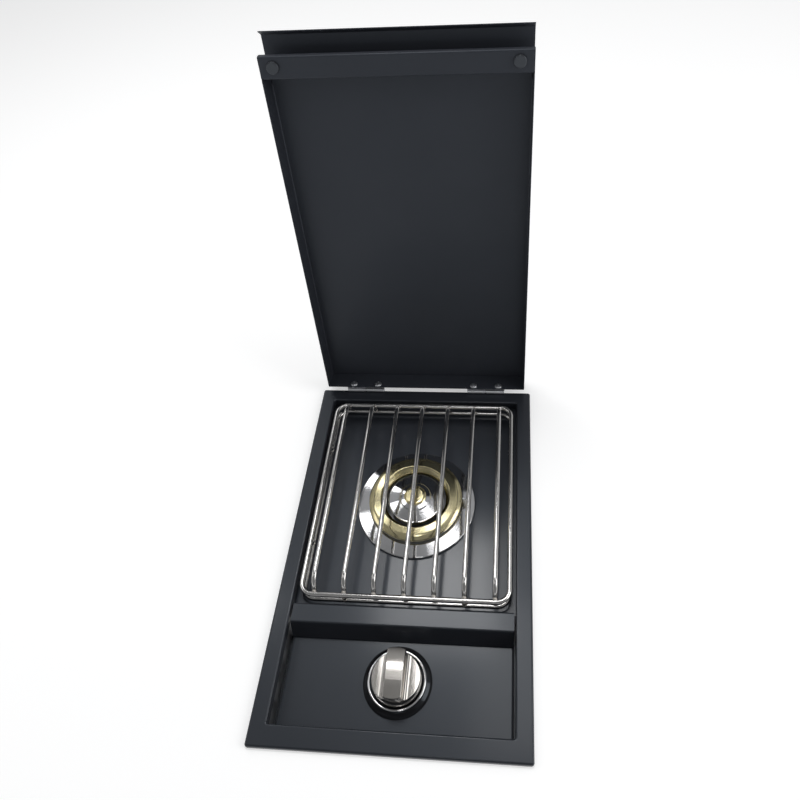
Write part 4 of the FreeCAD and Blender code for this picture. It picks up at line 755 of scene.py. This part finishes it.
def grate():
    upper_low, upper_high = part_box("grate_upper_loop")
    bars_low, bars_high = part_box("grate_bars")
    centre_x, centre_y, upper_level = middle((upper_low, upper_high))
    lower_level = middle(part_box("grate_lower_loop"))[2]
    rod_level = bars_high[2] - WIRE_RADIUS
    half_width = (upper_high[0] - upper_low[0]) / 2 - WIRE_RADIUS
    half_length = (upper_high[1] - upper_low[1]) / 2 - WIRE_RADIUS
    rod_span = bars_high[0] - bars_low[0] - WIRE_RADIUS * 2
    pitch = rod_span / (ROD_COUNT - 1)

    corner = half_length - LEG_INSET - (rod_level - upper_level) * LEG_SLOPE
    foot = half_length - LEG_INSET - ROD_FOOT * LEG_SLOPE
    foot_level = upper_level + ROD_FOOT
    line = [(-foot, foot_level), (-corner, rod_level), (corner, rod_level), (foot, foot_level)]
    rod_path = bpy.data.meshes.new("rod_path")
    rod_path.from_pydata([(0, *place) for place in line], [(0, 1), (1, 2), (2, 3)], [])

    shapes = Shapes("wire_grate")
    wire = shapes.size("Wire radius", WIRE_RADIUS)
    width = shapes.size("Loop width", half_width * 2)
    length = shapes.size("Loop length", half_length * 2)
    loop_bend = shapes.size("Loop corner", LOOP_CORNER)
    rods = shapes.size("Rods", ROD_COUNT, "Int")
    rod_bend = shapes.size("Rod bend", ROD_BEND)
    bead = shapes.size("Weld bead", BEAD_RADIUS)

    def rounded(path, radius):
        values = {"Curve": path, "Radius": radius, "Count": BEND_STEPS}
        return shapes.node("FilletCurve", {"mode": "POLY"}, values)

    def corners(size_x, size_y, count_x=2):
        values = {"Size X": size_x, "Size Y": size_y, "Vertices X": count_x, "Vertices Y": 2}
        return shapes.node("MeshGrid", values=values)

    def raised(shape, level):
        return shapes.moved(shape, (0, 0, level))

    values = {"Width": width, "Height": length}
    outline = shapes.node("CurvePrimitiveQuadrilateral", {"mode": "RECTANGLE"}, values)
    loop = shapes.wire(rounded(outline, loop_bend), wire)
    loops = shapes.joined(raised(loop, upper_level), raised(loop, lower_level))

    path = shapes.node("MeshToCurve", values={"Mesh": shapes.start()})
    rod = shapes.wire(rounded(path, rod_bend), wire)
    values = {"Count": rods, "Start Location": (-rod_span / 2, 0, 0), "Offset": (pitch, 0, 0)}
    bars = shapes.at_each(shapes.node("MeshLine", {"mode": "OFFSET"}, values), rod)

    across_ends = corners(pitch * POST_PITCHES, length)
    post_points = shapes.joined(across_ends, corners(width, half_length))
    values = {"Start": (0, 0, lower_level), "End": (0, 0, upper_level)}
    post = shapes.wire(shapes.node("CurvePrimitiveLine", values=values), POST_RADIUS)
    posts = shapes.at_each(post_points, post)

    blob = shapes.node("MeshIcoSphere", values={"Radius": bead, "Subdivisions": 3})
    foot_points = corners(rod_span, (half_length - WIRE_RADIUS) * 2, rods)
    beads = raised(shapes.at_each(foot_points, blob), upper_level + BEAD_RISE)
    flat_blob = shapes.node("Transform", values={"Geometry": blob, "Scale": POST_WELD_SHAPE})
    post_welds = shapes.at_each(post_points, flat_blob)
    welds = shapes.joined(
        beads,
        raised(post_welds, upper_level - POST_WELD_GAP),
        raised(post_welds, lower_level + POST_WELD_GAP),
    )

    wires = shapes.clad(shapes.joined(loops, bars, posts), polished_wire())
    whole = shapes.joined(wires, shapes.clad(welds, weld_metal()))
    shapes.finished(shapes.moved(whole, (centre_x, centre_y, 0)))
    piece = plain_mesh("wire_grate", shapes, rod_path)
    piece.data.shade_smooth()
    piece.data.set_sharp_from_angle(angle=GRATE_SHARP)
    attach(piece, "grate")
    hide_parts("grate_upper_loop", "grate_lower_loop", "grate_bars", "grate_posts")


grate()


# The lid.
# Coated sheet folded up on three sides, with a channel across its front, a folded lip and two
# rubber bumpers. Two plated hinges with pins hold it to the frame's back edge.

lid_black = powder_coat("lid_coat", tone=1.55, roughness=0.46, skin=0.0, shine=0.40)
wear(lid_black, "lid_skin", "lid_front_channel")
bumper_rubber = moulded_plastic("bumper_rubber", roughness=0.42, shine=0.85)
wear(bumper_rubber, "bumper_left", "bumper_right")
wear(
    dull_zinc,
    "lid_hinge_left", "lid_hinge_right", "frame_hinge_left", "frame_hinge_right",
    "hinge_pin_left", "hinge_pin_right",
)


# The lid's screws.
# Four plated round-headed screws with a cross recess, through the lid's back wall and the
# hinge leaves.

SCREW_HEAD_RADIUS = 0.0052
SCREW_HEAD = 0.002
SCREW_HEAD_FULLNESS = 0.9
SCREW_SHANK_RADIUS = 0.002
SCREW_SHANK = 0.0025
SCREW_SIDES = 32
DOME_STEPS = 8
SCREW_SPREAD = 0.0177
SCREW_PLACE = 0.006
SCREW_WALL = 0.0065
SCREW_SHARP = math.radians(35)
RECESS_REACH = 0.0026
RECESS_WIDTH = 0.0009
RECESS_DEPTH = 0.0014
HINGE_AXIS = (0.0, 0.2337, 0.108)
HINGE_CENTRE = 0.087
LID_ANGLE = math.radians(98)


def round_headed_screw():
    """One screw along Z with its seat at nought: a shank under a domed head."""
    profile = [(SCREW_SHANK_RADIUS, -SCREW_SHANK), (SCREW_SHANK_RADIUS, 0.0)]
    for step in range(DOME_STEPS):
        turn = math.pi / 2 * step / DOME_STEPS
        rise = math.sin(turn) ** SCREW_HEAD_FULLNESS
        profile.append((SCREW_HEAD_RADIUS * math.cos(turn), SCREW_HEAD * rise))
    turns = [math.tau * step / SCREW_SIDES for step in range(SCREW_SIDES)]
    made = bmesh.new()
    rings = []
    for radius, level in profile:
        points = [(radius * math.cos(turn), radius * math.sin(turn), level) for turn in turns]
        rings.append([made.verts.new(point) for point in points])
    for low, high in zip(rings, rings[1:]):
        for step in range(SCREW_SIDES):
            after = (step + 1) % SCREW_SIDES
            made.faces.new((low[step], low[after], high[after], high[step]))
    made.faces.new(rings[0][::-1])
    made.faces.new(rings[-1])
    bmesh.ops.recalc_face_normals(made, faces=made.faces)
    mesh = bpy.data.meshes.new("screw_blank")
    made.to_mesh(mesh)
    made.free()
    return mesh


def lid_screws():
    """The recess cut into one blank, and the result in two pairs on the lid's back wall."""
    shapes = Shapes("cross_recess_screws")
    reach = shapes.size("Recess reach", RECESS_REACH * 2)
    width = shapes.size("Recess width", RECESS_WIDTH)
    depth = shapes.size("Recess depth", RECESS_DEPTH * 2)
    between = shapes.size("Between hinges", HINGE_CENTRE * 2)
    spread = shapes.size("Screw spread", SCREW_SPREAD * 2)

    def bar(across, along):
        block = shapes.node("MeshCube", values={"Size": shapes.vector(across, along, depth)})
        return shapes.moved(block, (0, 0, SCREW_HEAD))

    def pair(step):
        first, offset = shapes.vector(step * -0.5, 0, 0), shapes.vector(step, 0, 0)
        values = {"Count": 2, "Start Location": first, "Offset": offset}
        return shapes.node("MeshLine", {"mode": "OFFSET"}, values)

    slotted = shapes.cut(shapes.start(), bar(reach, width))
    screw = shapes.cut(slotted, bar(width, reach))
    hinge = shapes.node("RealizeInstances", values={0: shapes.at_each(pair(spread), screw)})
    shapes.finished(shapes.clad(shapes.at_each(pair(between), hinge), dull_zinc))
    piece = plain_mesh("cross_recess_screws", shapes, round_headed_screw())
    turn = Matrix.Rotation(LID_ANGLE, 4, (-1, 0, 0))
    on_wall = Matrix.Translation((0, -SCREW_WALL, SCREW_PLACE))
    upright = Matrix.Rotation(math.pi / 2, 4, "X")
    piece.data.transform(Matrix.Translation(HINGE_AXIS) @ turn @ on_wall @ upright)
    piece.data.set_sharp_from_angle(angle=SCREW_SHARP)
    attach(piece, "lid")
    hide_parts("lid_screws")


lid_screws()
